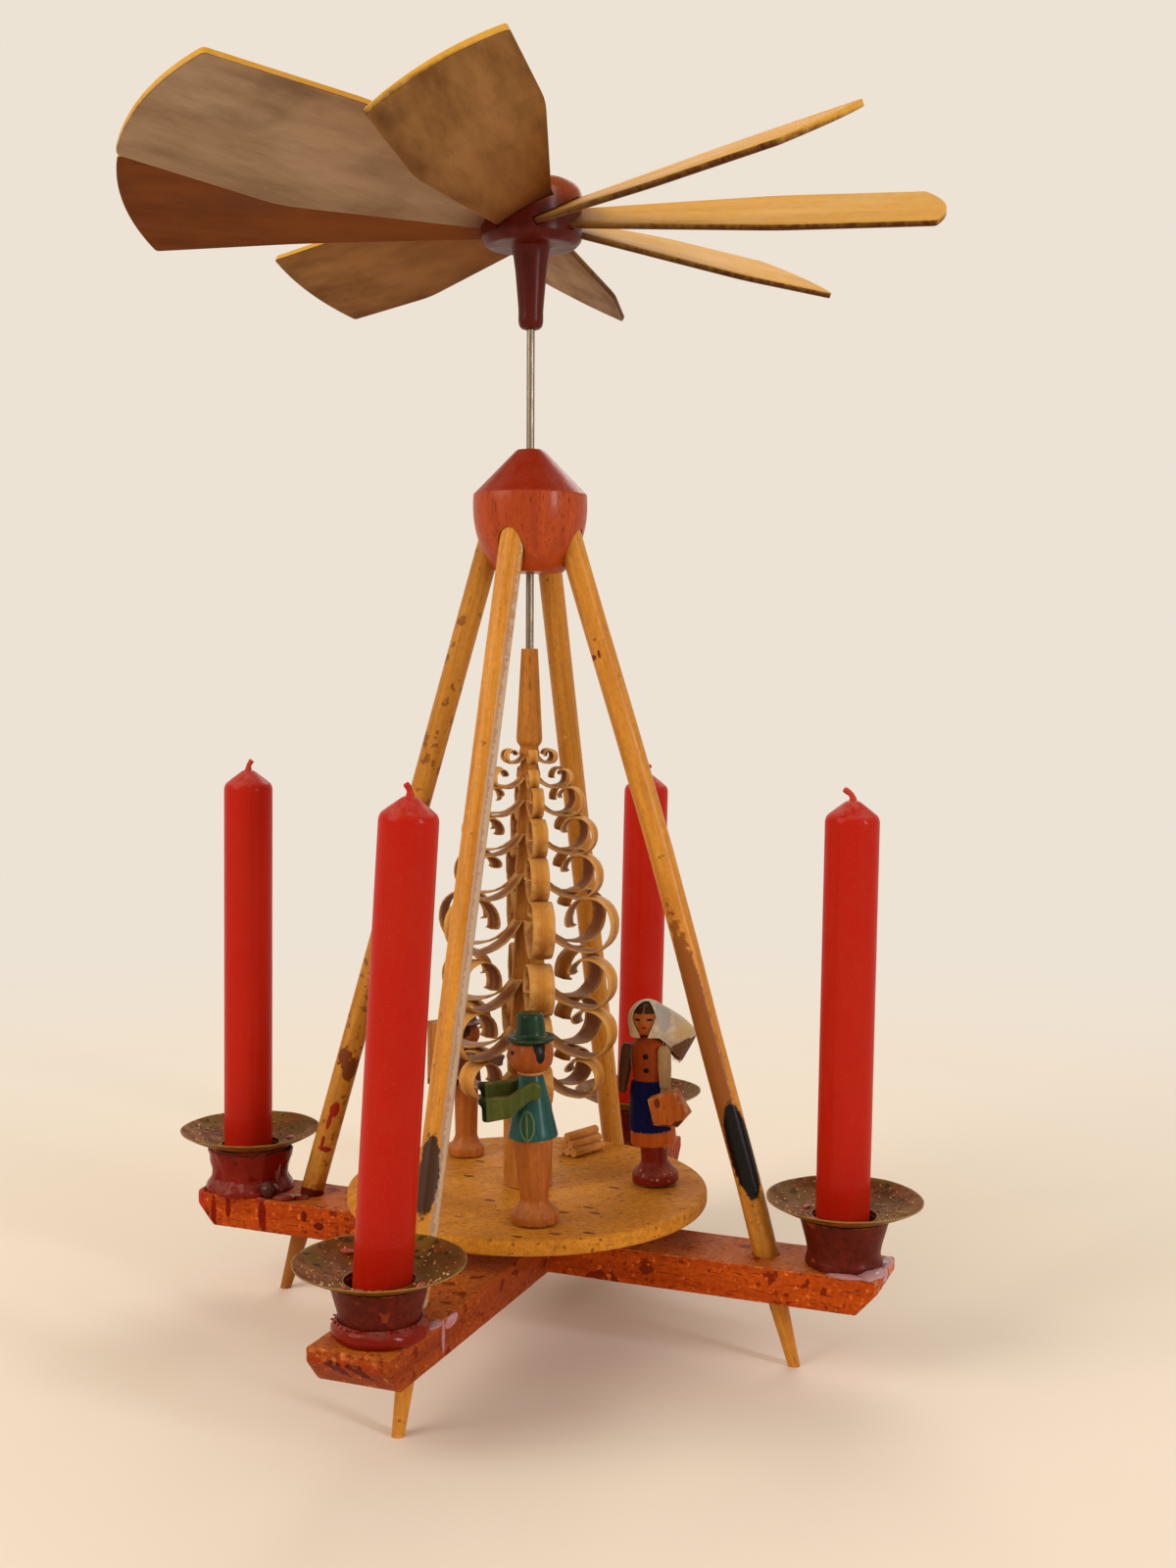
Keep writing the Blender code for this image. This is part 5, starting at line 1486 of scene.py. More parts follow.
def make_woman():
    matrix = stand_place("woman")
    legs = figure_lathe("woman_turned_legs", legs_profile(6.0, 3.4, 3.6, 3.8, 9.8), 36, matrix)
    dress(legs, matrix, "maroon_paint", "woman_legs", "woman_legs")
    bodice = figure_lathe("woman_turned_bodice", body_points(0.0, 24.0, 38.0), 48, matrix, 0.5)
    skirt = figure_lathe("woman_turned_skirt", body_points(0.0, 10.1, 24.0), 48, matrix, 0.4)
    dress(bodice, matrix, "bodice_paint", "bodice", "woman_body")
    dress(skirt, matrix, "bodice_paint", "skirt", "woman_body")
    dress(apron_panel(matrix), matrix, "bodice_paint", "apron", angle=50)
    buttons = []
    for height, radius in ((33.6, 4.68), (30.0, 4.6)):
        button = lump("button", (radius, 0.25, height), (0.3, 0.72, 0.72), 1.0, rough=0.03)
        buttons.append(put(button, matrix))
    dress(joined("woman_buttons", buttons), matrix, "maroon_paint", "button")
    head = figure_lathe("woman_carved_head", head_points(4.4, 42.5, 46.85, 38.3), 48, matrix, 0.1)
    with_nose(head, matrix, 42.2, 0.35)
    head_place = matrix @ Matrix.Translation((0.0, 0.0, 42.5))
    dress(head, head_place, "face_wood", "woman_face", "woman_head")
    scarf, fringe = make_scarf(head_place, cloth)
    arms = ((0.2, -5.5, -8, 6, "right", "bodice_paint", "brown_sleeve"),
            (3.7, 5.0, -1, 0, "left", "sleeve_paint", "white_sleeve"))
    for x, y, out, forward, label, slot, paint in arms:
        trimmer = put(lathe("trimmer", body_points(fit, 10.1, 38.0), 48), matrix)
        arm = hanging_arm("woman_turned_arm_" + label, (x, y, 36.4), out, forward, matrix, trimmer)
        dress(arm, matrix, slot, paint, "woman_arm_" + label, angle=50)
    outline = [(-1.2, -1.2), (-2.5, 5.4), (4.5, 7.7), (7.9, 1.6), (5.0, -1.5)]
    basket = board("woman_carved_basket", outline, 5.0, 0.5, 0.5)
    put(basket, matrix @ Matrix.Translation((8.4, 4.4, 18.6)) @ turn_z(math.pi / 2)
        @ Matrix.Rotation(math.pi / 2, 4, "X"))
    dress(basket, matrix, "basket_wood", "basket", "woman_basket", angle=45)


def make_carrier():
    matrix = stand_place("carrier")
    legs = figure_lathe("carrier_turned_legs", legs_profile(4.9, 3.0, 3.3, 3.6, 19.6), 36, matrix)
    dress(legs, matrix, "leg_wood", "carrier_legs", "carrier_legs")
    foot, top = 19.9, 29.5

    def coat_points(grow):
        return [(0.0, top + grow), (2.5 + grow, top + grow), (3.1 + grow, top - 0.8),
                (4.1 + grow, foot - grow), (0.0, foot - grow)]

    coat = figure_lathe("carrier_turned_coat", coat_points(0.0), 40, matrix, 0.4)
    dress(coat, matrix, "maroon_paint", "carrier_coat", "carrier_coat")
    head = figure_lathe("carrier_carved_head", head_points(3.7, 33.1, 35.6, 29.8), 40, matrix, 0.1)
    with_nose(head, matrix, 32.8, 0.45)
    head_place = matrix @ Matrix.Translation((0.0, 0.0, 33.1))
    dress(head, head_place, "face_wood", "carrier_face", "carrier_head")
    hat = figure_lathe("carrier_turned_hat", hat_points(35.9, 4.5, 0.8, 2.9, 4.2), 40, matrix, 0.3)
    dress(hat, matrix, "grey_paint", "grey", "carrier_hat")
    for side, label in ((1, "left"), (-1, "right")):
        trimmer = put(lathe("trimmer", coat_points(fit), 40), matrix)
        arm = flat_arm("carrier_cut_arm_" + label, sleeve_outline(8.2, 1.7, -0.2, -3.4, 1.2),
                       1.8, 3.7 * side, top - 2.2, matrix, trimmer)
        dress(arm, matrix, "grey_paint", "grey", "carrier_arm_" + label, angle=45)
    back = -(4.1 + fit + 3.0)
    pannier = block("carrier_slatted_pannier", (back - 3.0, -3.2, foot),
                    (back + 3.0, 3.2, foot + 17.4))

    def soften(work):
        bmesh.ops.bevel(work, geom=work.edges[:], offset=0.35, segments=2, affect="EDGES",
                        profile=0.5)

    edit(pannier, soften)
    put(pannier, matrix)
    dress(pannier, matrix, "basket_wood", "pannier", "carrier_pannier", angle=45)


def cut_log(seed):
    """One log, with its bark a little uneven."""
    cut = log_half - 0.15
    bark = divided([(1.1, log_half), (log_radius, cut), (log_radius, -cut), (1.1, -log_half)], 1.0)
    log = lathe("log", [(0.0, log_half)] + bark + [(0.0, -log_half)], 20)
    for vertex in log.data.vertices:
        if math.hypot(vertex.co.x, vertex.co.y) > 1.15:
            vertex.co *= 1.0 - 0.03 * abs(noise.noise(vertex.co * 1.5 + seed))
    return log


def make_logs(bark_finish, end_finish):
    """Three, two and one log, with their cut ends as thin pale caps."""
    step = 2 * log_radius - 0.12
    rise = step * math.sqrt(3) / 2
    sideways = Vector((math.sin(log_turn), -math.cos(log_turn), 0.0))
    logs, ends = [], []
    for row, number in enumerate((3, 2, 1)):
        place = on_circle(log_azimuth, log_distance, figure_floor + log_radius + row * rise)
        for i in range(number):
            shift = (i - (number - 1) / 2) * step
            matrix = (Matrix.Translation(place + sideways * shift) @ turn_z(log_turn)
                      @ Matrix.Rotation(math.pi / 2, 4, "Y"))
            logs.append(put(cut_log(Vector((row, i, 0.0)) * 3), matrix))
            for end in (-log_half - 0.02, log_half + 0.02):
                cap = lathe("cap", [(0.0, 0.02), (1.02, 0.02), (1.05, -0.05), (0.0, -0.05)], 20)
                if end < 0:
                    put(cap, Matrix.Rotation(math.pi, 4, "X"))
                ends.append(put(cap, matrix @ Matrix.Translation((0.0, 0.0, end))))
    along = Matrix.Rotation(-math.pi / 2, 4, "Y") @ turn_z(-log_turn)
    settle(joined("stacked_logs", logs), "rotor", bark_finish, ("log_stack",), grain=along)
    settle(joined("log_ends", ends), "rotor", end_finish, grain=along)


# Wax that ran down, and crumbs on the trays

def folded_ring(name, centre, profile, folds, depth, finish):
    """Wax set round a turned piece, its outer side in soft folds."""
    middle = sum(r for r, _ in profile) / len(profile)
    ring = lathe(name, divided(rounded(profile + profile[:1], 0.7, 3)[1:-1], 0.9), 96, ring=True)
    for vertex in ring.data.vertices:
        x, y, z = vertex.co
        radius = math.hypot(x, y)
        if radius > middle - 0.6:
            way = Vector((x / radius * folds, y / radius * folds, z * 0.16))
            grow = 1.0 + depth * noise.noise(way) + 0.3 * depth * noise.noise(way * 2.7)
            vertex.co.x, vertex.co.y = x * grow, y * grow
    put(ring, Matrix.Translation((centre.x, centre.y, 0.0)))
    settle(ring, "stand", finish, angle=70)


def lumps(name, rows, finish, rough=0.2):
    """Drips, bubbles and smears of wax as one piece, each row a centre and a reach."""
    things = [lump("drip", centre, reach, i + 1.0, 8, 14, rough)
              for i, (centre, reach) in enumerate(rows)]
    settle(joined(name, things), "stand", finish, angle=70)


def on_tray(arm, azimuth, radius, above=0.15):
    return (holder_centre(holders[arm])
            + on_circle(math.radians(azimuth), radius, tray_height(radius) + above))


def make_crumb_tree():
    """Crumbs strewn over a surface in loose clumps, each turned and sized by chance."""
    tree, n, start, end = new_tree("strewn_crumbs", [
        ("Density", FLOAT, 0.2), ("Size", FLOAT, 0.4), ("Seed", WHOLE, 1)])
    clump = n.noise(n.add("GeometryNodeInputPosition").outputs[0], 0.22, 2.0)
    density = n.times(start["Density"], n.span(clump, 0.4, 0.62, 0.15, 2.4))
    points = n.add("GeometryNodeDistributePointsOnFaces", {
        "Mesh": start["Geometry"], "Density": density, "Seed": start["Seed"]})
    crumb = n.add("GeometryNodeMeshIcoSphere", {"Radius": start["Size"], "Subdivisions": 1})
    tilt = n.random((0.0, 0.0, 0.0), (6.28, 6.28, 6.28), start["Seed"])
    end_tree(n, start, end, {
        "Points": points.outputs["Points"], "Instance": crumb.outputs[0],
        "Rotation": n.turned(tilt),
        "Scale": n.random((0.2, 0.2, 0.12), (1.2, 0.9, 0.5), start["Seed"])})
    return tree


def strew_crumbs(arm, holder, seed, tree, finish):
    """Crumbs on a tray, strewn over a patch with the form of its dish."""
    inner, outer, above = 8.5, 17.0, 0.1
    steps, rings = 16, 4
    vertices = []
    for j in range(rings + 1):
        radius = inner + (outer - inner) * j / rings
        for i in range(steps + 1):
            angle = math.radians(360 * i / steps)
            vertices.append(holder_centre(holder)
                            + on_circle(angle, radius, tray_height(radius) + above))
    patch = add_object("tray_crumbs_" + arm, vertices, grid_faces(rings, steps))
    run_tree(patch, tree, Density=0.16, Size=0.4, Seed=seed, Finish=finish)
    settle(patch, "stand", finish, closed=False, angle=30)


# Scene

def make_floor(paper):
    """A pale floor that fades into the room's own light."""
    reach = 6000.0
    corners = [(x * reach, y * reach, 0.0) for x, y in ((-1, -1), (1, -1), (1, 1), (-1, 1))]
    floor = put(add_object("paper_floor", corners, [(0, 1, 2, 3)]), to_metres)
    material, n, shader = new_finish("paper")
    place = object_place(n)
    sheet = n.mix(n.noise(place, 0.004, 3.0), paper, rgb(240, 229, 214))
    n.put(shader.inputs["Base Color"], sheet)
    n.put(shader.inputs["Roughness"], 0.9)
    n.put(shader.inputs["Specular IOR Level"], 0.1)
    glow = n.add("ShaderNodeEmission", {"Color": paper, "Strength": 0.93}).outputs[0]
    faded = n.add("ShaderNodeMixShader", {0: n.span(n.length(place), 180.0, 620.0),
                                          1: shader.outputs[0], 2: glow}).outputs[0]
    n.put(material.node_tree.nodes["Material Output"].inputs["Surface"], faded)
    floor.data.materials.append(material)


def make_room(paper):
    """Warm soft light from all sides, and a pale room behind the part."""
    world = bpy.data.worlds.new("room")
    scene.world = world
    world.use_nodes = True
    world.node_tree.nodes.clear()
    n = Nodes(world.node_tree)
    path = n.add("ShaderNodeLightPath")
    seen = n.maths("MAXIMUM", path.outputs["Is Camera Ray"], path.outputs["Is Glossy Ray"])
    seen = n.maths("MAXIMUM", seen, path.outputs["Is Transmission Ray"])
    light = n.add("ShaderNodeBackground", {"Color": rgb(255, 240, 220), "Strength": 0.55})
    room = n.add("ShaderNodeBackground", {"Color": paper, "Strength": 0.93})
    both = n.add("ShaderNodeMixShader", {0: seen, 1: light.outputs[0], 2: room.outputs[0]})
    n.add("ShaderNodeOutputWorld", {"Surface": both.outputs[0]})


def add_lamp(name, place, target, size, power, colour):
    data = bpy.data.lights.new(name, "AREA")
    data.shape = "RECTANGLE"
    data.size, data.size_y = size
    data.energy = power
    data.color = colour
    lamp = bpy.data.objects.new(name, data)
    scene.collection.objects.link(lamp)
    lamp.location = place
    lamp.rotation_euler = (Vector(target) - Vector(place)).to_track_quat("-Z", "Y").to_euler()


def make_camera():
    """The photo's own camera, worked out from it."""
    picture_height, focal_pixels, film_height = 1600.0, 1832.2690385, 36.0
    distance, height, azimuth = 0.45589529, 0.17373785, math.radians(23.366)
    pitch, yaw, roll = -0.07184577, 0.0328342445, 0.00597365
    ahead = Vector((math.sin(yaw) * math.cos(pitch), math.cos(yaw) * math.cos(pitch),
                    math.sin(pitch)))
    right = ahead.cross(Vector((0.0, 0.0, 1.0))).normalized()
    above = right.cross(ahead)
    across = right * math.cos(roll) + above * math.sin(roll)
    upward = above * math.cos(roll) - right * math.sin(roll)
    matrix = Matrix(((across.x, upward.x, -ahead.x, 0.0),
                     (across.y, upward.y, -ahead.y, -distance),
                     (across.z, upward.z, -ahead.z, height), (0.0, 0.0, 0.0, 1.0)))
    data = bpy.data.cameras.new("camera")
    camera = bpy.data.objects.new("camera", data)
    scene.collection.objects.link(camera)
    camera.matrix_world = turn_z(azimuth) @ matrix
    data.sensor_fit = "VERTICAL"
    data.sensor_height = film_height
    data.lens = focal_pixels * film_height / picture_height
    scene.camera = camera


# Finishes of the stand

bar_colours = dict(pore=(84, 26, 8), width=4.0, top=(196, 104, 36), dust=0.12,
                   dust_colour=(190, 122, 58), mottle=0.45, rough=0.45, coat=0.0, bump=0.2,
                   fleck=(((108, 24, 6), 4.4, 0.5), ((222, 112, 42), 1.3, 0.5),
                          ((118, 38, 10), 1.5, 0.5)))
run_marks = [((x, -10.1, 26.9 - fall), (half, 0.9, fall), (122, 20, 7), 1.0)
             for x, half, fall in ((-73.4, 1.3, 3.6), (-72.9, 0.7, 5.6), (-84.0, 0.8, 3.0),
                                   (-88.6, 0.9, 7.6))]
run_marks += [((-93.6, -9.6, 24.6), (2.6, 3.0, 5.6), (178, 52, 32), 0.9),
              ((-56.0, -10.1, 22.0), (1.6, 0.9, 1.0), (104, 26, 8), 0.7),
              ((-60.4, -10.1, 24.2), (0.9, 0.9, 1.5), (104, 26, 8), 0.7)]
long_bar_finish = wooden("left_right_bar_stain", (204, 86, 18), (178, 64, 11), wear=0.14,
                         wear_colour=(236, 160, 100), part_marks=run_marks, **bar_colours)
saw_marks = [((0.0, -cross_bar / 2, 21.5), (10.6, 1.4, 4.2), (156, 54, 18), 0.8)]
saw_marks += [((x + i, -cross_bar / 2, 24.2 - 1.1 * i), (2.1 - 0.35 * i, 3.0, 1.0), (96, 24, 9),
               0.25) for x in (-3.8, 1.4) for i in range(4)]
cross_bar_finish = wooden("front_back_bar_stain", (174, 76, 24), (146, 56, 16), wear=0.05,
                          wear_colour=(226, 140, 74), part_marks=saw_marks, **bar_colours)


def leg_lacquer(name, marks, patches=0.28):
    return wooden(name, (222, 152, 55), (192, 121, 38), pore=(124, 68, 24), pore_share=0.35,
                  width=1.4, dust=0.08, wear=0.1, rough=0.34, coat=0.2, own_marks=marks,
                  fleck=(((132, 76, 28), 2.6, patches), ((230, 170, 90), 1.6, 0.2)))


leg_finish = leg_lacquer("leg_lacquer", (
    # The first two marks are a painted reflection: a mottled grey-lilac strip down one side of the
    # leg.
    ((0.65, 3.0, 112.0), (1.9, 1.9, 94.0), (170, 136, 106), 0.9),
    ((0.3, 3.2, 112.0), (1.2, 1.4, 92.0), (192, 166, 138), 3.0),
    ((3.0, 0.4, 57.0), (2.4, 2.8, 9.5), (70, 46, 30), 0.8),
    ((0.6, 1.0, 33.0), (2.4, 2.0, 5.0), (120, 70, 34), 0.9)))
right_leg_finish = leg_lacquer("right_leg_lacquer", (
    ((0.4, 2.9, 140.0), (2.2, 1.5, 66.0), (210, 180, 132), 0.7),
    ((0.0, -3.0, 80.0), (4.0, 1.6, 36.0), (142, 80, 28), 1.0),
    ((1.8, -2.5, 54.5), (3.4, 3.4, 12.5), (18, 12, 10), 0.3),
    ((-1.6, -2.6, 181.2), (1.0, 1.3, 0.8), (120, 36, 12), 0.9),
    ((0.4, -3.0, 181.6), (0.4, 1.0, 1.1), (120, 36, 12), 0.6)))
left_leg_finish = leg_lacquer("left_leg_lacquer", (
    ((-0.5, -0.5, 3.0), (9.0, 9.0, 32.0), (170, 104, 38), 0.5),
    ((-2.4, 1.8, 66.5), (1.8, 4.0, 3.6), (122, 64, 24), 2.4),
    ((-0.2, 2.8, 69.5), (1.9, 2.0, 2.6), (128, 60, 24), 2.4),
    ((-1.4, 2.8, 54.5), (1.3, 1.4, 2.2), (160, 34, 14), 0.7),
    ((-0.8, 2.9, 51.0), (0.6, 1.2, 2.6), (160, 34, 14), 0.7),
    ((-1.6, 2.6, 43.0), (1.9, 1.6, 0.8), (150, 32, 14), 0.7),
    ((-0.6, 2.9, 44.6), (0.5, 1.2, 2.0), (150, 32, 14), 0.5),
    ((-1.2, 2.0, 29.5), (4.0, 4.0, 1.6), (104, 30, 14), 0.6)), 0.6)
ball_finish = wooden("ball_stain", (190, 78, 24), (162, 58, 18), pore=(74, 24, 8),
                     pore_share=0.8, fade=((154, 40, 12), 213.4, 214.2), dust=0.05, wear=0.08,
                     wear_colour=(206, 112, 52), rough=0.35, coat=0.25)
cup_finish = wooden("cup_stain", (110, 30, 12), (86, 22, 9), pore=(56, 16, 8), width=2.5,
                    dust=0.08, wear=0.2, wear_colour=(166, 84, 40), coat=0.1, mottle=0.5,
                    fleck=(((140, 56, 24), 5.0, 0.5),))
tray_finish = make_tray_brass()


# Finishes of the turning pieces

# The fade is painted light: from 282 mm up, the hub turns a lighter orange, as if lit from above.
hub_finish = wooden("hub_stain", (100, 25, 10), (76, 18, 7), pore=(50, 14, 8), width=2.0,
                    dust=0.12, wear=0.08, wear_colour=(160, 78, 36), rough=0.38,
                    fade=((150, 70, 28), 282.0, 287.0))
disc_pits = ((17.8, -19), (21.9, -13), (25.2, -16.7), (22.1, 4.8), (14.8, -40.3), (22.1, -35),
             (-2.8, -17.2), (-16.8, -0.2), (29.1, -31.3), (4.6, 3.1), (-19.8, 13.4))
disc_finish = wooden("disc_lacquer", (218, 146, 46), (198, 124, 36), pore=(112, 58, 20),
                     pore_share=0.4, width=5.0, fibre=0.12, mottle=0.45, dust=0.25,
                     dust_colour=(186, 124, 52), wear=0.12, wear_colour=(226, 168, 84),
                     rough=0.5, coat=0.0,
                     fleck=(((136, 78, 24), 7.0, 0.35), ((110, 60, 18), 1.8, 0.4)),
                     part_marks=[((x, y, disc_top), (1.5, 0.7, 1.5), (92, 46, 14), 0.9)
                                 for x, y in disc_pits])
trunk_finish = wooden("trunk_wood", (190, 124, 52), (158, 96, 34), pore=(112, 60, 24),
                      width=1.6, dust=0.1, rough=0.5, coat=0.0)
bark_finish = wooden("log_bark", (234, 162, 80), (192, 124, 56), pore=(110, 60, 26), width=0.8,
                     rough=0.75, coat=0.0, bump=0.12)
log_end_finish = wooden("log_ends", (218, 158, 84), (190, 126, 60), rough=0.7, coat=0.0, width=0.8)
cloth = make_kerchief_cloth()


def both_sides(centre, reach, tint, ragged):
    """The same mark on the left and on the right."""
    x, y, z = centre
    return tuple(((x, side * y, z), reach, tint, ragged) for side in (1, -1))


paints = {
    "forester_legs": wooden("forester_leg_paint", (184, 104, 40), (152, 79, 27), dust=0.1,
                            width=2.0),
    "coat": wooden("coat_lacquer", (30, 92, 84), (18, 66, 60), pore=(10, 26, 18), dust=0.1,
                   dust_colour=(110, 120, 84), wear=0.1, wear_colour=(112, 98, 44),
                   rough=0.3, coat=0.3, own_marks=(
                       ((1.6, 5.4, 24.6), (1.9, 2.4, 3.7), (92, 104, 62), 0.3),
                       ((1.6, 5.4, 24.6), (1.5, 2.4, 3.2), (28, 66, 44), 0.3),
                       ((1.6, 5.4, 24.6), (0.25, 2.4, 3.0), (92, 104, 62), 0.5))),
    "hat": wooden("hat_lacquer", (26, 62, 36), (16, 44, 24), pore=(12, 28, 14), dust=0.15,
                  dust_colour=(110, 112, 70), wear=0.25, wear_colour=(110, 98, 46),
                  rough=0.3, coat=0.35),
    "olive_sleeve": wooden("olive_sleeve", (92, 98, 40), (62, 72, 27), dust=0.15,
                           dust_colour=(132, 118, 66), wear=0.2, wear_colour=(134, 108, 48),
                           rough=0.5, coat=0.1, own_marks=(
                               ((12.6, 4.2, 28.0), (1.7, 3.0, 7.0), (24, 32, 20), 0.3),
                               ((12.6, -4.2, 31.0), (1.7, 3.0, 7.0), (24, 32, 20), 0.3))),
    "collar": wooden("collar_paint", (206, 138, 76), (184, 112, 56), rough=0.5),
    "forester_face": wooden("forester_face", (176, 92, 38), (148, 72, 26), dust=0.04, own_marks=(
        *both_sides((4.5, 2.6, 41.6), (0.9, 0.8, 0.55), (24, 16, 12), 0.2),
        ((-1.9, 5.0, 43.4), (1.6, 2.4, 2.6), (22, 18, 16), 0.1),
        ((-2.0, 5.0, 41.2), (1.1, 2.4, 2.0), (22, 18, 16), 0.1),
        ((-1.9, -5.0, 42.6), (1.5, 2.4, 3.2), (22, 18, 16), 0.1))),
    "woman_legs": wooden("woman_leg_paint", (150, 42, 20), (118, 30, 14), dust=0.3,
                         dust_colour=(190, 160, 130), fleck=(((200, 180, 170), 1.3, 0.4),)),
    "bodice": wooden("bodice_paint", (186, 80, 22), (152, 60, 15), dust=0.05, rough=0.45,
                     coat=0.1),
    "skirt": wooden("skirt_paint", (214, 107, 31), (180, 82, 21), dust=0.08, rough=0.5,
                    coat=0.1),
    "apron": wooden("apron_paint", (20, 26, 88), (14, 18, 62), dust=0.1,
                    dust_colour=(140, 130, 130), fleck=(((190, 180, 180), 1.6, 0.1),),
                    rough=0.6, coat=0.0, wear=0.05),
    "button": wooden("button_paint", (34, 18, 14), (24, 12, 10), rough=0.3, dust=0.05),
    "woman_face": wooden("woman_face", (206, 120, 56), (180, 98, 42), dust=0.04, own_marks=(
        ((-0.4, 0.0, 3.4), (5.4, 5.4, 2.5), (52, 26, 14), 0.25),
        ((3.4, 0.0, 3.2), (1.4, 0.16, 1.9), (150, 84, 44), 0.2),
        *both_sides((3.8, 1.55, 0.5), (1.1, 0.85, 0.34), (28, 16, 14), 0.1),
        ((4.2, 0.0, -1.6), (1.0, 0.75, 0.32), (150, 36, 26), 0.1))),
    "brown_sleeve": wooden("brown_sleeve", (112, 62, 26), (74, 44, 18), dust=0.08, rough=0.5),
    "white_sleeve": wooden("white_sleeve", (204, 172, 122), (162, 126, 80), dust=0.08,
                           fibre=0.5, rough=0.6, coat=0.0),
    "basket": wooden("basket_carving", (202, 108, 38), (164, 76, 24), pore=(92, 40, 14),
                     dust=0.08, wear=0.2, rough=0.55, coat=0.05, own_marks=(
                         # The first two marks are painted shade: a dark brown strip along the lower
                         # edge of the front face.
                         ((10.9, 10.9, 17.9), (3.0, 2.6, 1.1), (96, 42, 14), 0.3),
                         ((10.9, 7.0, 17.2), (3.0, 5.0, 0.6), (96, 42, 14), 0.3),
                         ((10.9, 4.5, 23.2), (3.0, 0.8, 1.2), (110, 46, 16), 0.5))),
    "carrier_legs": wooden("carrier_leg_paint", (196, 116, 50), (164, 88, 34)),
    "carrier_coat": wooden("carrier_coat_paint", (132, 28, 14), (98, 20, 12)),
    "carrier_face": wooden("carrier_face", (188, 106, 50), (160, 82, 36), own_marks=(
        *both_sides((3.2, 1.3, 0.5), (0.9, 0.45, 0.5), (24, 16, 12), 0.1),
        ((-2.6, 0.0, 1.2), (3.4, 4.2, 2.4), (60, 34, 20), 0.3))),
    "grey": wooden("grey_paint", (138, 108, 108), (106, 80, 80), dust=0.15, rough=0.5),
    "pannier": wooden("pannier_wood", (200, 132, 62), (162, 94, 40), pore=(112, 58, 24),
                      dust=0.1, rough=0.55, coat=0.05, width=1.2,
                      part_marks=(((0, 0, 58.5), (90, 90, 0.9), (66, 36, 18), 0.3),)),
}


# Wax finishes

candle_wax = waxy("candle_wax", (178, 27, 8), (180, 52, 28), 0.2, 0.36)
wick_wax = waxy("wick_wax", (176, 40, 24), (206, 100, 76), 0.5, 0.45)
crumb_wax = waxy("crumb_wax", (200, 142, 86), (228, 198, 148), 0.9, 0.5)
run_wax = waxy("run_wax", (118, 18, 3), (146, 42, 14), 0.3, 0.1, gloss=0.12)
bubble_wax = waxy("bubble_wax", (66, 14, 3), (92, 28, 10), 0.2, 0.1, gloss=0.25)
pale_wax = waxy("pale_wax", (172, 112, 116), (204, 168, 176), 0.7, 0.28, gloss=0.4)
red_wax = waxy("red_wax", (144, 28, 12), (196, 80, 58), 0.35, 0.2, gloss=0.2)


def make_wax_runs():
    front, left = (holder_centre(holders[arm]) for arm in ("front", "left"))
    folded_ring("front_wax_ring", front, [
        (8.7, 27.2), (10.2, 27.15), (10.9, 28.3), (10.7, 29.8), (9.9, 30.9), (8.9, 31.2)],
        1.6, 0.05, run_wax)
    folded_ring("left_wax_cloak", left, [
        (9.2, 27.15), (12.2, 27.15), (11.6, 28.6), (10.1, 30.6), (9.9, 33.0), (10.7, 36.0),
        (11.2, 38.2), (10.3, 38.2), (9.0, 33.0)], 2.6, 0.085, run_wax)
    bubbles = []
    for i in range(15):
        azimuth = math.radians(-178 + 12.4 * i + 4 * math.sin(7 * i))
        place = on_circle(azimuth, 10.0 + 0.2 * math.sin(9 * azimuth), 31.0 - front.z)
        bubbles.append((front + place, (0.32, 0.32, 0.3 + 0.1 * math.sin(5 * azimuth))))
    lumps("front_wax_bubbles", bubbles, red_wax, 0.1)
    lumps("left_wax_bubble", [((-72.8, -7.6, 29.2), (2.7, 2.4, 2.3))], bubble_wax, 0.08)
    lumps("left_wax_pool", [
        ((-68.7, -6.5, 27.5), (3.8, 2.6, 0.8)), ((-64.9, -4.2, 27.3), (2.6, 2.4, 0.55)),
        ((-77.5, -8.6, 28.0), (3.6, 1.8, 1.3)), ((-89.5, -5.5, 27.4), (3.6, 4.2, 1.2)),
        ((-91.0, 4.5, 27.3), (2.4, 4.0, 0.9))], run_wax, 0.15)
    lumps("left_wax_crust", [
        ((-92.4, -9.0, 26.6), (1.3, 1.3, 1.4)), ((-93.1, -5.0, 26.6), (0.8, 4.0, 1.2)),
        ((-93.2, 2.0, 26.4), (0.7, 3.4, 1.0)), ((-83.5, -9.9, 26.9), (2.4, 0.6, 0.7)),
        ((-74.0, -9.8, 26.9), (1.6, 0.6, 0.7))], red_wax, 0.4)
    lumps("front_wax_drips", [
        ((10.1, -70.2, 23.4), (0.35, 0.7, 3.8)), ((10.1, -66.0, 25.6), (0.25, 3.4, 1.4)),
        ((9.6, -73.6, 27.2), (1.6, 3.0, 0.5))], pale_wax)
    lumps("right_wax_puddle", [
        ((91.2, -4.6, 27.3), (3.0, 5.4, 0.9)), ((86.0, -9.0, 27.2), (5.2, 1.5, 0.6)),
        ((92.9, 4.0, 27.2), (1.6, 4.0, 1.0)), ((93.4, -1.0, 25.9), (0.7, 2.6, 1.8))], pale_wax)


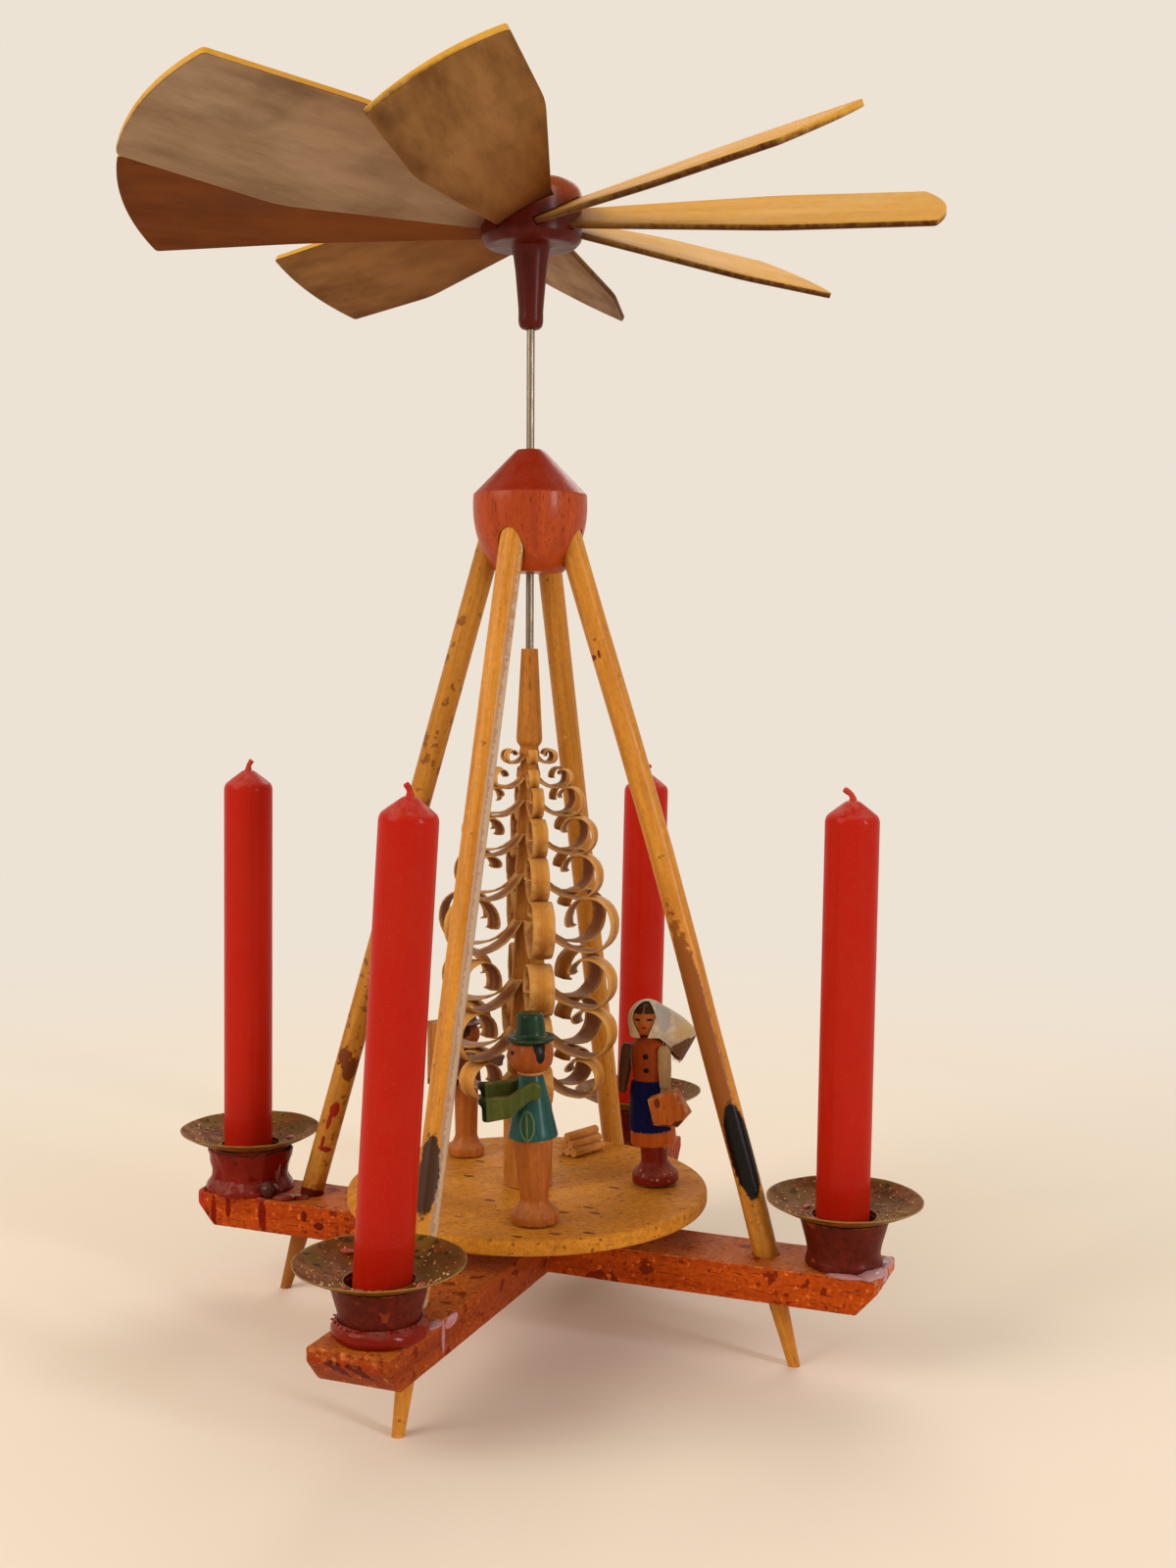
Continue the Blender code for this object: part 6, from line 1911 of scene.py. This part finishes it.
def make_tray_smears():
    """Smears by arm, azimuth and distance from the candle, each with its reach."""
    smears = (("front", 148, 14.5, 2.3, 0.9, 0.5), ("front", 132, 15.8, 1.2, 0.7, 0.4),
              ("front", -8, 10.9, 1.0, 1.9, 0.3), ("front", -88, 9.6, 1.3, 0.8, 0.5),
              ("front", -62, 9.4, 1.0, 0.8, 0.45), ("front", -112, 9.8, 0.8, 0.6, 0.4),
              ("left", -70, 10.0, 1.7, 0.9, 0.4), ("left", 40, 11.0, 1.0, 1.6, 0.3),
              ("right", -128, 9.6, 1.6, 1.6, 0.25), ("right", 172, 9.9, 0.9, 1.6, 0.3))
    lumps("tray_wax_smears", [(on_tray(arm, azimuth, distance), reach)
                              for arm, azimuth, distance, *reach in smears], red_wax)


# Building it all

make_leg("front", 0.1, leg_finish)
make_leg("right", 0.0, right_leg_finish)
make_leg("back", -0.9, leg_finish)
make_leg("left", -1.3, left_leg_finish)
make_cross()
make_bearing(tray_finish)
make_ball(ball_finish)
for arm_name, arm_holder in holders.items():
    make_cup(arm_name, arm_holder, cup_finish)
    make_tray(arm_name, arm_holder, tray_finish)
    make_candle(arm_name, arm_holder, candle_wax, wick_wax)
make_shaft_and_pin(make_spindle_steel())
make_disc(disc_finish)
make_trunk(trunk_finish)
make_shavings(make_shaving_wood())
make_fan(hub_finish, make_blade_board())
make_forester()
make_woman()
make_carrier()
make_logs(bark_finish, log_end_finish)
crumb_tree = make_crumb_tree()
for number, (arm_name, arm_holder) in enumerate(holders.items(), 1):
    strew_crumbs(arm_name, arm_holder, number, crumb_tree, crumb_wax)
make_wax_runs()
make_tray_smears()

room_paper = rgb(244, 234, 220)
make_floor(room_paper)
make_room(room_paper)
add_lamp("key", (-0.75, -0.95, 0.85), (0.0, 0.0, 0.14), (0.9, 0.9), 11.0, (1.0, 0.92, 0.8))
add_lamp("window", (1.15, -0.35, 0.45), (0.0, 0.0, 0.14), (0.16, 0.5), 5.5, (0.94, 0.92, 0.97))
add_lamp("back", (-0.2, 1.1, 0.9), (0.0, 0.0, 0.16), (0.9, 0.6), 5.0, (1.0, 0.96, 0.9))
make_camera()
scene.view_settings.view_transform = "Standard"
